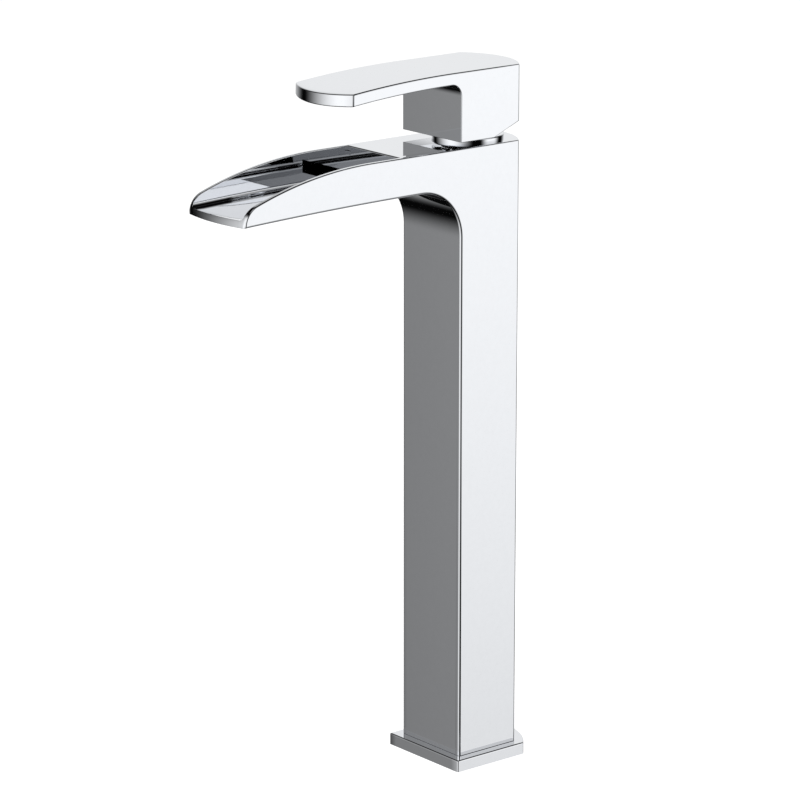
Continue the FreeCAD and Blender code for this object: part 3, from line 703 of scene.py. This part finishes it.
def boss_blocks(column, fittings):
    """Bosses for the foot screws, left standing in the hollow."""
    reach, floor = fittings.boss / 2, fittings.boss_floor
    top = floor + fittings.boss_height
    blocks = []
    for x, y in boss_places(column, fittings):
        blocks.append(block((x - reach, y - reach, floor), (x + reach, y + reach, top)))
    return blocks


def waterway(column, spout, fittings):
    """Cutters for the slot under the deck, the gallery behind it, the duct and the outlet."""
    floor = underside(spout, spout.deck, spout.floor)
    slot_top = floor + spout.slot_height
    slot_half = spout.slot_width / 2
    slot_front = -column.front - spout.deck - spout.wall
    gallery = -column.front + fittings.gallery_wall
    gallery_back = gallery + fittings.gallery_depth
    gallery_half = fittings.gallery_width / 2
    duct_top = fittings.seat - fittings.duct_roof
    duct_floor = duct_top - fittings.duct_height
    duct_half = fittings.duct_width / 2
    outlet = (0, fittings.outlet_behind)
    outlet_floor, outlet_top = duct_floor + 2 * OVERLAP, fittings.seat + OVERLAP
    return [
        block((-slot_half, slot_front, floor), (slot_half, gallery_back, slot_top)),
        block((-gallery_half, gallery, duct_floor), (gallery_half, gallery_back, slot_top - OVERLAP)),
        block((-duct_half, gallery_back - OVERLAP, duct_floor + OVERLAP), (duct_half, outlet[1], duct_top)),
        rod(fittings.outlet_radius, (*outlet, outlet_floor), (*outlet, outlet_top)),
    ]


def casting_hollows(column, spout, fittings):
    """Everything that is hollow in the casting, as one cutter."""
    hollow = plan_block(column, -column.wall, column.plate_top - spout.wall, fittings.hollow_top)
    combine(hollow, boss_blocks(column, fittings), "DIFFERENCE")
    seat = fittings.seat
    more = [
        rod(fittings.bore_radius, (0, 0, seat), (0, 0, spout.top)),
        rod(fittings.nut_radius, (0, 0, fittings.shoulder), (0, 0, spout.top + spout.wall)),
        *waterway(column, spout, fittings),
    ]
    socket_top = seat - fittings.socket_roof
    for side in (-1, 1):
        socket = (side * fittings.tube_spacing / 2, -fittings.tube_ahead)
        port = (side * fittings.port_spacing / 2, -fittings.tube_ahead)
        radius = fittings.tube_radius + PLAY
        more.append(rod(radius, (*socket, fittings.hollow_top - OVERLAP), (*socket, socket_top)))
        more.append(rod(fittings.port_radius, (*port, socket_top - OVERLAP), (*port, seat + OVERLAP)))
    low = fittings.boss_floor - OVERLAP
    high = fittings.boss_floor + fittings.boss_height + OVERLAP
    for x, y in boss_places(column, fittings):
        more.append(rod(fittings.screw_radius + PLAY, (x, y, low), (x, y, high), SCREW_BORE_SIDES))
    return combine(hollow, more, "UNION")


# Handle

def lever_line(handle, s, drop=0.0):
    """Height of the lever's arched top, or of a line parallel to it."""
    rise = math.sqrt((handle.arc - drop) ** 2 - (s - handle.flat) ** 2)
    return handle.top - handle.arc + rise


def handle_section(column, handle, x):
    """Section of block and lever at a place across."""
    outline = Outline()
    tip = handle.reach + bow(column.half_width, handle.tip_bulge, x)
    rim, side = handle.rim_round, handle.side_round
    thickness = handle.thickness
    front = -column.front

    def add(s, z, edge, trim=None):
        outline.add(front - s, z, edge, trim)

    for s in (-column.front, 0.0, handle.flat):
        add(s, handle.top, rim)
    for s in spread(handle.flat, tip, LEVER_STEPS)[:-1]:
        add(s, lever_line(handle, s), rim)
    add(tip, lever_line(handle, tip), side, rim)
    under = handle.under_round
    add(tip, lever_line(handle, tip, thickness), under, under)
    for s in spread(tip, handle.inner_round, LEVER_STEPS)[:-1]:
        add(s, lever_line(handle, s, thickness), under)
    inner = lever_line(handle, handle.inner_round, thickness)
    centre = (handle.inner_round, inner - handle.inner_round)
    for s, z in arc_line(centre, handle.inner_round, QUARTER, math.pi, INNER_STEPS):
        add(s, z, side + (under - side) * s / handle.inner_round)
    add(0.0, centre[1] - side, side)
    slope = (handle.heel_top - handle.floor) / (column.back + handle.heel_start)
    back = back_line(column, x)
    add(0.0, handle.floor, side, side / 2)
    outline.add(-handle.heel_start, handle.floor, side)
    outline.add(back, handle.floor + slope * (back + handle.heel_start), column.corner_round, drop=-side)
    outline.add(back, handle.top, rim, rim, drop=rim)
    return outline


def follow_tip(column, handle, point):
    """Moves a point near the lever's end forwards with the tip's bow."""
    x, y, z = point
    s = -column.front - y
    if s < handle.reach - handle.thickness / 2:
        return point
    more = bow(column.half_width, handle.tip_bulge, x)
    return x, y - more, z + lever_line(handle, s + more) - lever_line(handle, s)


def handle_skin(column, handle):
    """Block and lever as one skin, ring by ring from the right side to the left."""
    rings, soft_sides = side_rings(column, handle_section(column, handle, column.half_width))
    rings = [[follow_tip(column, handle, point) for point in ring] for ring in rings]
    soft_rings = set(range(ROUND_STEPS))
    start = column.half_width - column.corner_round - ROUND_REST
    for x in [start] + spread(start, 0.0, HANDLE_ROWS):
        rings.append(flat_ring(handle_section(column, handle, x), x))
    return mirrored_loft("lever_handle", rings, soft_rings, soft_sides)


def handle_hollows(column, handle):
    """Hollow under the block, left round the hub, with the stem's socket and the screw's bores."""
    roof = handle.top - handle.roof
    low = handle.floor - handle.wall
    recess = plan_block(column, -handle.wall, handle.heel_top + handle.wall / 2, roof)
    combine(recess, [rod(handle.mouth, (0, 0, low), (0, 0, roof))], "UNION")
    reach = handle.hub / 2
    axis = Vector((0, 0, handle.screw_level))
    back = Vector((0, column.back, 0))
    hub = block((-reach, -reach, handle.hub_floor), (reach, reach, handle.top))
    neck = rod(handle.neck, axis, axis + back)
    combine(recess, [hub, neck], "DIFFERENCE")
    half = handle.square / 2
    socket = block((-half, -half, handle.hub_floor - handle.wall), (half, half, handle.socket_top))
    thread = rod(handle.thread, axis, axis + back * 2)
    plug_floor = axis + back - Vector((0, handle.plug_depth, 0))
    seat = rod(handle.plug_radius + PLAY, plug_floor, axis + back * 2)
    return combine(recess, [socket, thread, seat], "UNION")


def plug_skin(column, handle):
    """Round plug whose face follows the handle's curved back."""
    rim = handle.rim_round / 2
    rings = []
    profile = [(handle.plug_radius, handle.plug_depth), (handle.plug_radius, rim)]
    for swing in quarter(ROUND_STEPS)[1:]:
        profile.append((handle.plug_radius - rim * (1 - math.cos(swing)), rim * (1 - math.sin(swing))))
    profile += [(handle.plug_radius * share, 0.0) for share in PLUG_SHARES]
    for radius, sunk in profile:
        ring = []
        for step in range(PLUG_SIDES):
            turn = 2 * math.pi * step / PLUG_SIDES
            x, z = radius * math.cos(turn), handle.screw_level + radius * math.sin(turn)
            y = column.back - handle.plug_depth if sunk == handle.plug_depth else back_line(column, x) - sunk
            ring.append((x, y, z))
        rings.append(ring)
    return loft("back_plug", rings, set(range(1, ROUND_STEPS + 1)))


# Geometry node trees

def add_node(tree, kind, links=None, **settings):
    """Node with its settings; links maps input names or places to sockets or values."""
    node = tree.nodes.new(kind)
    for key, value in settings.items():
        setattr(node, key, value)
    for key, value in (links or {}).items():
        if isinstance(value, bpy.types.NodeSocket):
            tree.links.new(value, node.inputs[key])
        else:
            node.inputs[key].default_value = value
    return node


def calculate(tree, operation, first, second):
    return add_node(tree, "ShaderNodeMath", {0: first, 1: second}, operation=operation).outputs[0]


def new_tree(name, inputs):
    """Geometry node group with named inputs, and its group input and output nodes."""
    tree = bpy.data.node_groups.new(name, "GeometryNodeTree")
    tree.interface.new_socket("Geometry", in_out="INPUT", socket_type="NodeSocketGeometry")
    tree.interface.new_socket("Geometry", in_out="OUTPUT", socket_type="NodeSocketGeometry")
    for label, kind in inputs.items():
        tree.interface.new_socket(label, in_out="INPUT", socket_type="NodeSocket" + kind)
    start = tree.nodes.new("NodeGroupInput")
    end = tree.nodes.new("NodeGroupOutput")
    return tree, start.outputs, end.inputs


def grown(name, tree, values):
    """Plain mesh object that a tree gives for these input values."""
    item = new_object(name, bpy.data.meshes.new(name))
    modifier = item.modifiers.new(name, "NODES")
    modifier.node_group = tree
    for socket in tree.interface.items_tree:
        if socket.in_out == "INPUT" and socket.name in values:
            modifier[socket.identifier] = values[socket.name]
    mesh = evaluated_mesh(item)
    item.modifiers.clear()
    item.data = mesh
    return item


def set_out(tree, given, result, piece):
    """Copies of a piece along a line, made real and painted, as the tree's result."""
    line = add_node(tree, "GeometryNodeMeshLine", {
        "Count": given["Copies"], "Start Location": given["First"], "Offset": given["Step"],
    })
    copies = add_node(tree, "GeometryNodeInstanceOnPoints", {"Points": line.outputs[0], "Instance": piece})
    real = add_node(tree, "GeometryNodeRealizeInstances", {"Geometry": copies.outputs[0]})
    painted = add_node(tree, "GeometryNodeSetMaterial", {
        "Geometry": real.outputs[0], "Material": given["Material"],
    })
    tree.links.new(painted.outputs[0], result[0])


def turned_tree():
    """Rings turned from a rectangular section with rounded edges, set out along a line."""
    tree, given, result = new_tree("turned_ring", {
        "Outer Radius": "Float", "Inner Radius": "Float", "Floor": "Float", "Top": "Float", "Edge": "Float",
        "Copies": "Int", "First": "Vector", "Step": "Vector", "Material": "Material",
    })
    width = calculate(tree, "SUBTRACT", given["Outer Radius"], given["Inner Radius"])
    height = calculate(tree, "SUBTRACT", given["Top"], given["Floor"])
    radii = calculate(tree, "ADD", given["Outer Radius"], given["Inner Radius"])
    levels = calculate(tree, "ADD", given["Top"], given["Floor"])
    middle = calculate(tree, "MULTIPLY", radii, 0.5)
    level = calculate(tree, "MULTIPLY", levels, 0.5)
    path = add_node(tree, "GeometryNodeCurvePrimitiveCircle", {"Resolution": RING_SIDES, "Radius": middle})
    section = add_node(tree, "GeometryNodeCurvePrimitiveQuadrilateral", {"Width": width, "Height": height})
    edged = add_node(tree, "GeometryNodeFilletCurve", {
        "Curve": section.outputs[0], "Radius": given["Edge"], "Count": ROUND_STEPS, "Limit Radius": True,
    }, mode="POLY")
    swept = add_node(tree, "GeometryNodeCurveToMesh", {
        "Curve": path.outputs[0], "Profile Curve": edged.outputs[0],
    })
    raise_by = add_node(tree, "ShaderNodeCombineXYZ", {"Z": level})
    raised = add_node(tree, "GeometryNodeTransform", {
        "Geometry": swept.outputs[0], "Translation": raise_by.outputs[0],
    })
    set_out(tree, given, result, raised.outputs[0])
    return tree


def turned(name, values):
    """Rings or tubes that the shared tree gives for these values."""
    return grown(name, bpy.data.node_groups.get("turned_ring") or turned_tree(), values)


def screw_tree():
    """Socket-head screws that stand on their heads, set out along a line."""
    tree, given, result = new_tree("socket_screw", {
        "Head Radius": "Float", "Head Height": "Float", "Shank Radius": "Float", "Length": "Float",
        "Key": "Float", "Key Depth": "Float",
        "Copies": "Int", "First": "Vector", "Step": "Vector", "Material": "Material",
    })

    def upright(radius, depth, floor, sides):
        solid = add_node(tree, "GeometryNodeMeshCylinder", {
            "Vertices": sides, "Radius": radius, "Depth": depth,
        })
        rise = calculate(tree, "ADD", floor, calculate(tree, "MULTIPLY", depth, 0.5))
        up = add_node(tree, "ShaderNodeCombineXYZ", {"Z": rise})
        return add_node(tree, "GeometryNodeTransform", {
            "Geometry": solid.outputs[0], "Translation": up.outputs[0],
        }).outputs[0]

    head = upright(given["Head Radius"], given["Head Height"], 0.0, HEAD_SIDES)
    shank = upright(given["Shank Radius"], given["Length"], 0.0, SHANK_SIDES)
    corner = calculate(tree, "DIVIDE", given["Key"], math.sqrt(3))
    key_height = calculate(tree, "MULTIPLY", given["Key Depth"], 2.0)
    key_floor = calculate(tree, "MULTIPLY", given["Key Depth"], -1.0)
    socket = upright(corner, key_height, key_floor, HEXAGON)
    joined = add_node(tree, "GeometryNodeMeshBoolean", {"Mesh 2": head}, operation="UNION", solver="EXACT")
    tree.links.new(shank, joined.inputs["Mesh 2"])
    cut = add_node(tree, "GeometryNodeMeshBoolean", {
        "Mesh 1": joined.outputs[0], "Mesh 2": socket,
    }, operation="DIFFERENCE", solver="EXACT")
    set_out(tree, given, result, cut.outputs[0])
    return tree


# Finishes

FINISH_NAMES = {
    "chrome": "polished_chrome",
    "brass": "machined_brass",
    "copper": "drawn_copper",
    "steel": "bright_steel",
    "rubber": "black_rubber",
    "cartridge_shell": "moulded_shell",
    "slider_plastic": "moulded_slider",
    "ceramic": "lapped_ceramic",
}
TINT_STOPS = (0.35, 0.65)
BUMP_STRENGTH = 0.4


def finish_named(slot):
    return bpy.data.materials[FINISH_NAMES[slot]]


def shader_of(slot):
    """New material of a slot with its node tree, its main shader and object coordinates."""
    material = bpy.data.materials.new(FINISH_NAMES[slot])
    material.use_nodes = True
    tree = material.node_tree
    coordinates = tree.nodes.new("ShaderNodeTexCoord").outputs["Object"]
    return material, tree, tree.nodes["Principled BSDF"], coordinates


def noise(tree, place, scale, detail):
    """Noise pattern at a number of waves per metre."""
    return add_node(tree, "ShaderNodeTexNoise", {
        "Vector": place, "Scale": scale, "Detail": detail,
    }).outputs["Fac"]


def ranged(tree, value, low, high):
    return add_node(tree, "ShaderNodeMapRange", {"Value": value, "To Min": low, "To Max": high}).outputs[0]


def tinted(tree, value, base, wander):
    """Colour that wanders a little round its base."""
    ramp = add_node(tree, "ShaderNodeValToRGB", {"Fac": value})
    shares = (1 - wander, 1 + wander)
    for element, stop, share in zip(ramp.color_ramp.elements, TINT_STOPS, shares):
        element.color = (*[min(1.0, channel * share) for channel in base], 1.0)
        element.position = stop
    return ramp.outputs[0]


def coat(tree, shader, pattern, base, rough, wander):
    """Lets a pattern move the colour and the polish of a shader."""
    tree.links.new(tinted(tree, pattern, base, wander), shader.inputs["Base Color"])
    tree.links.new(ranged(tree, pattern, *rough), shader.inputs["Roughness"])


def metal(slot, base, rough, grain, wander, stretch=None):
    """Metal with a fine grain in its colour and its polish, drawn out along an axis where asked."""
    material, tree, shader, place = shader_of(slot)
    if stretch:
        place = add_node(tree, "ShaderNodeMapping", {"Vector": place, "Scale": stretch}).outputs[0]
    coat(tree, shader, noise(tree, place, grain, detail=3.0), base, rough, wander)
    shader.inputs["Metallic"].default_value = 1.0
    return material


def moulded(slot, base, rough, grain, depth, wander=0.05):
    """Moulded plastic, rubber or ceramic with a fine surface."""
    material, tree, shader, place = shader_of(slot)
    pattern = noise(tree, place, grain, detail=4.0)
    coat(tree, shader, pattern, base, rough, wander)
    bump = add_node(tree, "ShaderNodeBump", {
        "Height": pattern, "Distance": depth, "Strength": BUMP_STRENGTH,
    })
    tree.links.new(bump.outputs[0], shader.inputs["Normal"])
    return material


def chrome_finish(base):
    """Polished plating: an even mirror with a faint unevenness in its polish."""
    return metal("chrome", base, rough=(0.012, 0.035), grain=420.0, wander=0.006)


def brass_finish(base):
    return metal("brass", base, rough=(0.18, 0.32), grain=900.0, wander=0.08, stretch=(1.0, 1.0, 9.0))


def copper_finish(base):
    return metal("copper", base, rough=(0.2, 0.34), grain=1100.0, wander=0.08, stretch=(1.0, 1.0, 0.03))


def steel_finish(base):
    return metal("steel", base, rough=(0.14, 0.3), grain=1500.0, wander=0.05, stretch=(1.0, 1.0, 0.1))


def rubber_finish(base):
    return moulded("rubber", base, rough=(0.6, 0.8), grain=1600.0, depth=0.05 * MM, wander=0.25)


def shell_finish(base):
    return moulded("cartridge_shell", base, rough=(0.4, 0.55), grain=1300.0, depth=0.04 * MM)


def slider_finish(base):
    return moulded("slider_plastic", base, rough=(0.3, 0.45), grain=1200.0, depth=0.03 * MM)


def ceramic_finish(base):
    return moulded("ceramic", base, rough=(0.08, 0.16), grain=1800.0, depth=0.01 * MM, wander=0.02)


def make_finishes(colours):
    """Material of each slot in the record."""
    return {
        "chrome": chrome_finish(colours.chrome),
        "brass": brass_finish(colours.brass),
        "copper": copper_finish(colours.copper),
        "steel": steel_finish(colours.steel),
        "rubber": rubber_finish(colours.rubber),
        "cartridge_shell": shell_finish(colours.cartridge_shell),
        "slider_plastic": slider_finish(colours.slider_plastic),
        "ceramic": ceramic_finish(colours.ceramic),
    }


# Studio

STUDIO_CARDS = {
    # name: azimuth, full and no light across; no, full, full and no light upwards, in degrees; brightness
    "right_card": (39.0, 10.0, 38.0, -51.0, -5.0, -5.0, 52.0, 1.06),
    "backdrop": (141.0, 12.0, 52.0, -31.0, 7.0, 17.0, 44.0, 0.86),
    "low_backdrop": (115.0, 20.0, 73.0, -62.0, -38.0, -34.0, -18.0, 0.42),
    "front_left_box": (268.0, 0.0, 70.0, -90.0, 0.0, 28.0, 46.0, 1.08),
    "front_right_top": (315.0, 15.0, 50.0, 50.0, 60.0, 76.0, 88.0, 0.5),
}
STUDIO_GLOOM = 0.002
STUDIO_TINT = (0.985, 0.993, 1.0, 1.0)
WHITE = (1.0, 1.0, 1.0, 1.0)
FLOOR_GREY = (0.42, 0.42, 0.42, 1.0)
FLOOR_GLOW = 0.9


def faded(tree, value, zero, full):
    """Smooth step from no light to full light, both in degrees."""
    return add_node(tree, "ShaderNodeMapRange", {
        "Value": value, "From Min": math.radians(zero), "From Max": math.radians(full),
    }, interpolation_type="SMOOTHSTEP").outputs[0]


def studio_light(tree):
    """Brightness of the studio by direction: soft cards before a dark surround."""
    direction = add_node(tree, "ShaderNodeTexCoord").outputs["Generated"]
    split = add_node(tree, "ShaderNodeSeparateXYZ", {0: direction})
    azimuth = calculate(tree, "ARCTAN2", split.outputs["Y"], split.outputs["X"])
    elevation = calculate(tree, "ARCSINE", split.outputs["Z"], 0.0)
    total = None
    for middle, full, zero, low, low_full, high_full, high, brightness in STUDIO_CARDS.values():
        turn = calculate(tree, "SUBTRACT", azimuth, math.radians(middle))
        away = calculate(tree, "ARCCOSINE", calculate(tree, "COSINE", turn, 0.0), 0.0)
        across = faded(tree, away, zero, full)
        from_below = faded(tree, elevation, low, low_full)
        from_above = faded(tree, elevation, high, high_full)
        up = calculate(tree, "MULTIPLY", from_below, from_above)
        light = calculate(tree, "MULTIPLY", calculate(tree, "MULTIPLY", across, up), brightness)
        total = light if total is None else calculate(tree, "ADD", total, light)
    return calculate(tree, "ADD", total, STUDIO_GLOOM)


def make_world():
    """White to the camera, a studio of soft cards to everything else."""
    world = bpy.data.worlds.new("studio")
    world.use_nodes = True
    tree = world.node_tree
    tree.nodes.clear()
    path = add_node(tree, "ShaderNodeLightPath")
    seen = add_node(tree, "ShaderNodeBackground", {"Color": WHITE, "Strength": 1.0})
    lit = add_node(tree, "ShaderNodeBackground", {"Color": STUDIO_TINT, "Strength": studio_light(tree)})
    mix = add_node(tree, "ShaderNodeMixShader", {
        0: path.outputs["Is Camera Ray"], 1: lit.outputs[0], 2: seen.outputs[0],
    })
    add_node(tree, "ShaderNodeOutputWorld", {"Surface": mix.outputs[0]})
    bpy.context.scene.world = world


def floor_finish():
    """White floor that keeps the object's shadow and lets reflections see the studio beyond it."""
    material = bpy.data.materials.new("studio_floor")
    material.use_nodes = True
    tree = material.node_tree
    tree.nodes.clear()
    path = add_node(tree, "ShaderNodeLightPath")
    shade = add_node(tree, "ShaderNodeBsdfDiffuse", {"Color": FLOOR_GREY})
    glow = add_node(tree, "ShaderNodeEmission", {"Color": WHITE, "Strength": FLOOR_GLOW})
    both = add_node(tree, "ShaderNodeAddShader", {0: shade.outputs[0], 1: glow.outputs[0]})
    clear = add_node(tree, "ShaderNodeBsdfTransparent")
    mirrored = calculate(tree, "MAXIMUM", path.outputs["Is Glossy Ray"], path.outputs["Is Transmission Ray"])
    mix = add_node(tree, "ShaderNodeMixShader", {0: mirrored, 1: both.outputs[0], 2: clear.outputs[0]})
    add_node(tree, "ShaderNodeOutputMaterial", {"Surface": mix.outputs[0]})
    return material


# Operators

class MixerOperator:
    """What the operators share."""

    bl_options = {"REGISTER", "UNDO"}

    def execute(self, context):
        self.make(context.scene.mixer_column, context.scene)
        return {"FINISHED"}


class MIXER_OT_finishes(MixerOperator, bpy.types.Operator):
    """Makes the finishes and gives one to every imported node"""

    bl_idname = "mixer.finishes"
    bl_label = "Finishes"

    def make(self, column, scene):
        finishes = make_finishes(scene.mixer_colours)
        for part in frame["record"]["subparts"]:
            node = frame["nodes"][part["node"]]
            node.data.materials.clear()
            node.data.materials.append(finishes[part["material_slot"]])


class MIXER_OT_body(MixerOperator, bpy.types.Operator):
    """Builds the chromed casting of column and open spout"""

    bl_idname = "mixer.body"
    bl_label = "Body"

    def make(self, column, scene):
        body = casting_skin(column, scene.mixer_spout)
        combine(body, [casting_hollows(column, scene.mixer_spout, scene.mixer_fittings)], "DIFFERENCE")
        settle(body, "mixer", "chrome", "body")


class MIXER_OT_base_plate(MixerOperator, bpy.types.Operator):
    """Builds the base plate with its rounded rim and the groove for the rubber band"""

    bl_idname = "mixer.base_plate"
    bl_label = "Base plate"

    def make(self, column, scene):
        over, top, edge = column.plate_overhang, column.plate_top, column.edge_round
        profile = [(over - edge, top)]
        for swing in quarter(ROUND_STEPS)[1:]:
            profile.append((over - edge * (1 - math.sin(swing)), top - edge * (1 - math.cos(swing))))
        groove = over - column.gasket_inset
        profile += [
            (over, 0.0),
            (groove, 0.0),
            (groove, column.gasket_depth),
            (groove - column.gasket_width, column.gasket_depth),
            (groove - column.gasket_width, 0.0),
            (-column.spigot_inset, 0.0),
            (-column.spigot_inset, top),
        ]
        rings = [plan_ring(column, grow, z, edge) for grow, z in profile]
        plate = loft("foot_plate", rings, set(range(ROUND_STEPS)), closed=True)
        settle(plate, "mixer", "chrome", "base_plate")


class MIXER_OT_cap_ring(MixerOperator, bpy.types.Operator):
    """Turns the ring on the deck, with its skirt down to the nut"""

    bl_idname = "mixer.cap_ring"
    bl_label = "Cap ring"

    def make(self, column, scene):
        fittings, deck = scene.mixer_fittings, scene.mixer_spout.top
        shared = {"Inner Radius": fittings.ring_bore, "Copies": 1, "Material": finish_named("chrome")}
        flange = turned("deck_ring", {
            **shared, "Outer Radius": fittings.ring_radius, "Floor": deck - fittings.ring_round,
            "Top": fittings.ring_top, "Edge": fittings.ring_round,
        })
        reach = fittings.ring_radius * 2
        combine(flange, [block((-reach, -reach, fittings.ring_foot), (reach, reach, deck))], "DIFFERENCE")
        skirt = turned("cutter", {
            **shared, "Outer Radius": fittings.nut_radius - PLAY, "Floor": fittings.ring_foot,
            "Top": deck + fittings.ring_round, "Edge": FINE_EDGE,
        })
        combine(flange, [skirt], "UNION")
        settle(flange, "mixer", "chrome", "cap_ring")


class MIXER_OT_handle(MixerOperator, bpy.types.Operator):
    """Builds the handle: block, arched lever and the hollow under it"""

    bl_idname = "mixer.handle"
    bl_label = "Handle"

    def make(self, column, scene):
        handle = handle_skin(column, scene.mixer_handle)
        combine(handle, [handle_hollows(column, scene.mixer_handle)], "DIFFERENCE")
        settle(handle, "lever", "chrome", "handle")


class MIXER_OT_screw_plug(MixerOperator, bpy.types.Operator):
    """Builds the plug over the grub screw, in the handle's curved back"""

    bl_idname = "mixer.screw_plug"
    bl_label = "Screw plug"

    def make(self, column, scene):
        plug = plug_skin(column, scene.mixer_handle)
        settle(plug, "lever", "chrome", "screw_plug")


class MIXER_OT_supply(MixerOperator, bpy.types.Operator):
    """Sets out the two supply tubes and the two screws that hold the foot"""

    bl_idname = "mixer.supply"
    bl_label = "Supply tubes and foot screws"

    def make(self, column, scene):
        fittings = scene.mixer_fittings
        low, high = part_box("hot_riser")
        tubes = turned("supply_tubes", {
            "Outer Radius": fittings.tube_radius, "Inner Radius": fittings.tube_radius - fittings.tube_wall,
            "Floor": low.z, "Top": high.z, "Edge": FINE_EDGE, "Copies": 2,
            "First": (-fittings.tube_spacing / 2, -fittings.tube_ahead, 0.0),
            "Step": (fittings.tube_spacing, 0.0, 0.0), "Material": finish_named("copper"),
        })
        settle(tubes, "mixer", "copper", "hot_riser", "cold_riser")
        low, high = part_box("foot_screws")
        left = low.x + fittings.screw_head
        screws = grown("foot_bolts", screw_tree(), {
            "Head Radius": fittings.screw_head, "Head Height": fittings.screw_head_height,
            "Shank Radius": fittings.screw_radius, "Length": high.z - low.z,
            "Key": fittings.screw_key, "Key Depth": fittings.screw_key_depth,
            "First": (left, low.y + fittings.screw_head, low.z), "Step": (-2 * left, 0.0, 0.0),
            "Copies": 2, "Material": finish_named("steel"),
        })
        settle(screws, "mixer", "steel", "foot_screws")


class MIXER_OT_stage(MixerOperator, bpy.types.Operator):
    """Sets the camera, the floor and the light"""

    bl_idname = "mixer.stage"
    bl_label = "Stage"

    def make(self, column, scene):
        studio = scene.mixer_studio
        level = math.cos(studio.elevation)
        back = Vector((
            math.sin(studio.azimuth) * level, -math.cos(studio.azimuth) * level, math.sin(studio.elevation),
        ))
        camera = bpy.data.objects.new("camera", bpy.data.cameras.new("camera"))
        scene.collection.objects.link(camera)
        camera.location = Vector(studio.target) + back * studio.distance
        camera.rotation_euler = (-back).to_track_quat("-Z", "Y").to_euler()
        camera.data.sensor_width = studio.sensor
        camera.data.lens = studio.lens
        camera.data.clip_start = CLIP_START
        scene.camera = camera

        reach = studio.floor_size / 2
        mesh = bpy.data.meshes.new("studio_floor")
        corners = [(-reach, -reach, 0.0), (reach, -reach, 0.0), (reach, reach, 0.0), (-reach, reach, 0.0)]
        mesh.from_pydata(corners, [], [(0, 1, 2, 3)])
        mesh.materials.append(floor_finish())
        new_object("studio_floor", mesh)

        lamp = bpy.data.lights.new("overhead", "AREA")
        lamp.energy = studio.key_power
        lamp.size = studio.key_size
        overhead = bpy.data.objects.new("overhead", lamp)
        overhead.location = studio.key_place
        overhead.rotation_euler = (-overhead.location).to_track_quat("-Z", "Y").to_euler()
        overhead.visible_glossy = False
        scene.collection.objects.link(overhead)
        make_world()
        scene.view_settings.view_transform = "Standard"


class MIXER_PT_sidebar(bpy.types.Panel):
    """Lists the mixer's pieces and sizes"""

    bl_idname = "MIXER_PT_sidebar"
    bl_label = "Basin mixer"
    bl_space_type = "VIEW_3D"
    bl_region_type = "UI"
    bl_category = "Mixer"

    def draw(self, context):
        layout = self.layout
        for operator in OPERATORS:
            layout.operator(operator.bl_idname)
        for name, group in GROUPS.items():
            sizes = getattr(context.scene, name)
            box = layout.box()
            for key in group.__annotations__:
                box.prop(sizes, key)


GROUPS = {
    "mixer_column": MixerColumn,
    "mixer_spout": MixerSpout,
    "mixer_handle": MixerHandle,
    "mixer_fittings": MixerFittings,
    "mixer_colours": MixerColours,
    "mixer_studio": MixerStudio,
}
OPERATORS = (
    MIXER_OT_finishes,
    MIXER_OT_body,
    MIXER_OT_base_plate,
    MIXER_OT_cap_ring,
    MIXER_OT_handle,
    MIXER_OT_screw_plug,
    MIXER_OT_supply,
    MIXER_OT_stage,
)


def register():
    for name, group in GROUPS.items():
        bpy.utils.register_class(group)
        setattr(bpy.types.Scene, name, bpy.props.PointerProperty(type=group))
    for operator in OPERATORS:
        bpy.utils.register_class(operator)
    bpy.utils.register_class(MIXER_PT_sidebar)


def unregister():
    bpy.utils.unregister_class(MIXER_PT_sidebar)
    for operator in reversed(OPERATORS):
        bpy.utils.unregister_class(operator)
    for name, group in GROUPS.items():
        delattr(bpy.types.Scene, name)
        bpy.utils.unregister_class(group)


def main():
    register()
    bpy.ops.mixer.finishes()
    bpy.ops.mixer.body()
    bpy.ops.mixer.base_plate()
    bpy.ops.mixer.cap_ring()
    bpy.ops.mixer.handle()
    bpy.ops.mixer.screw_plug()
    bpy.ops.mixer.supply()
    bpy.ops.mixer.stage()


if __name__ == "__main__":
    main()
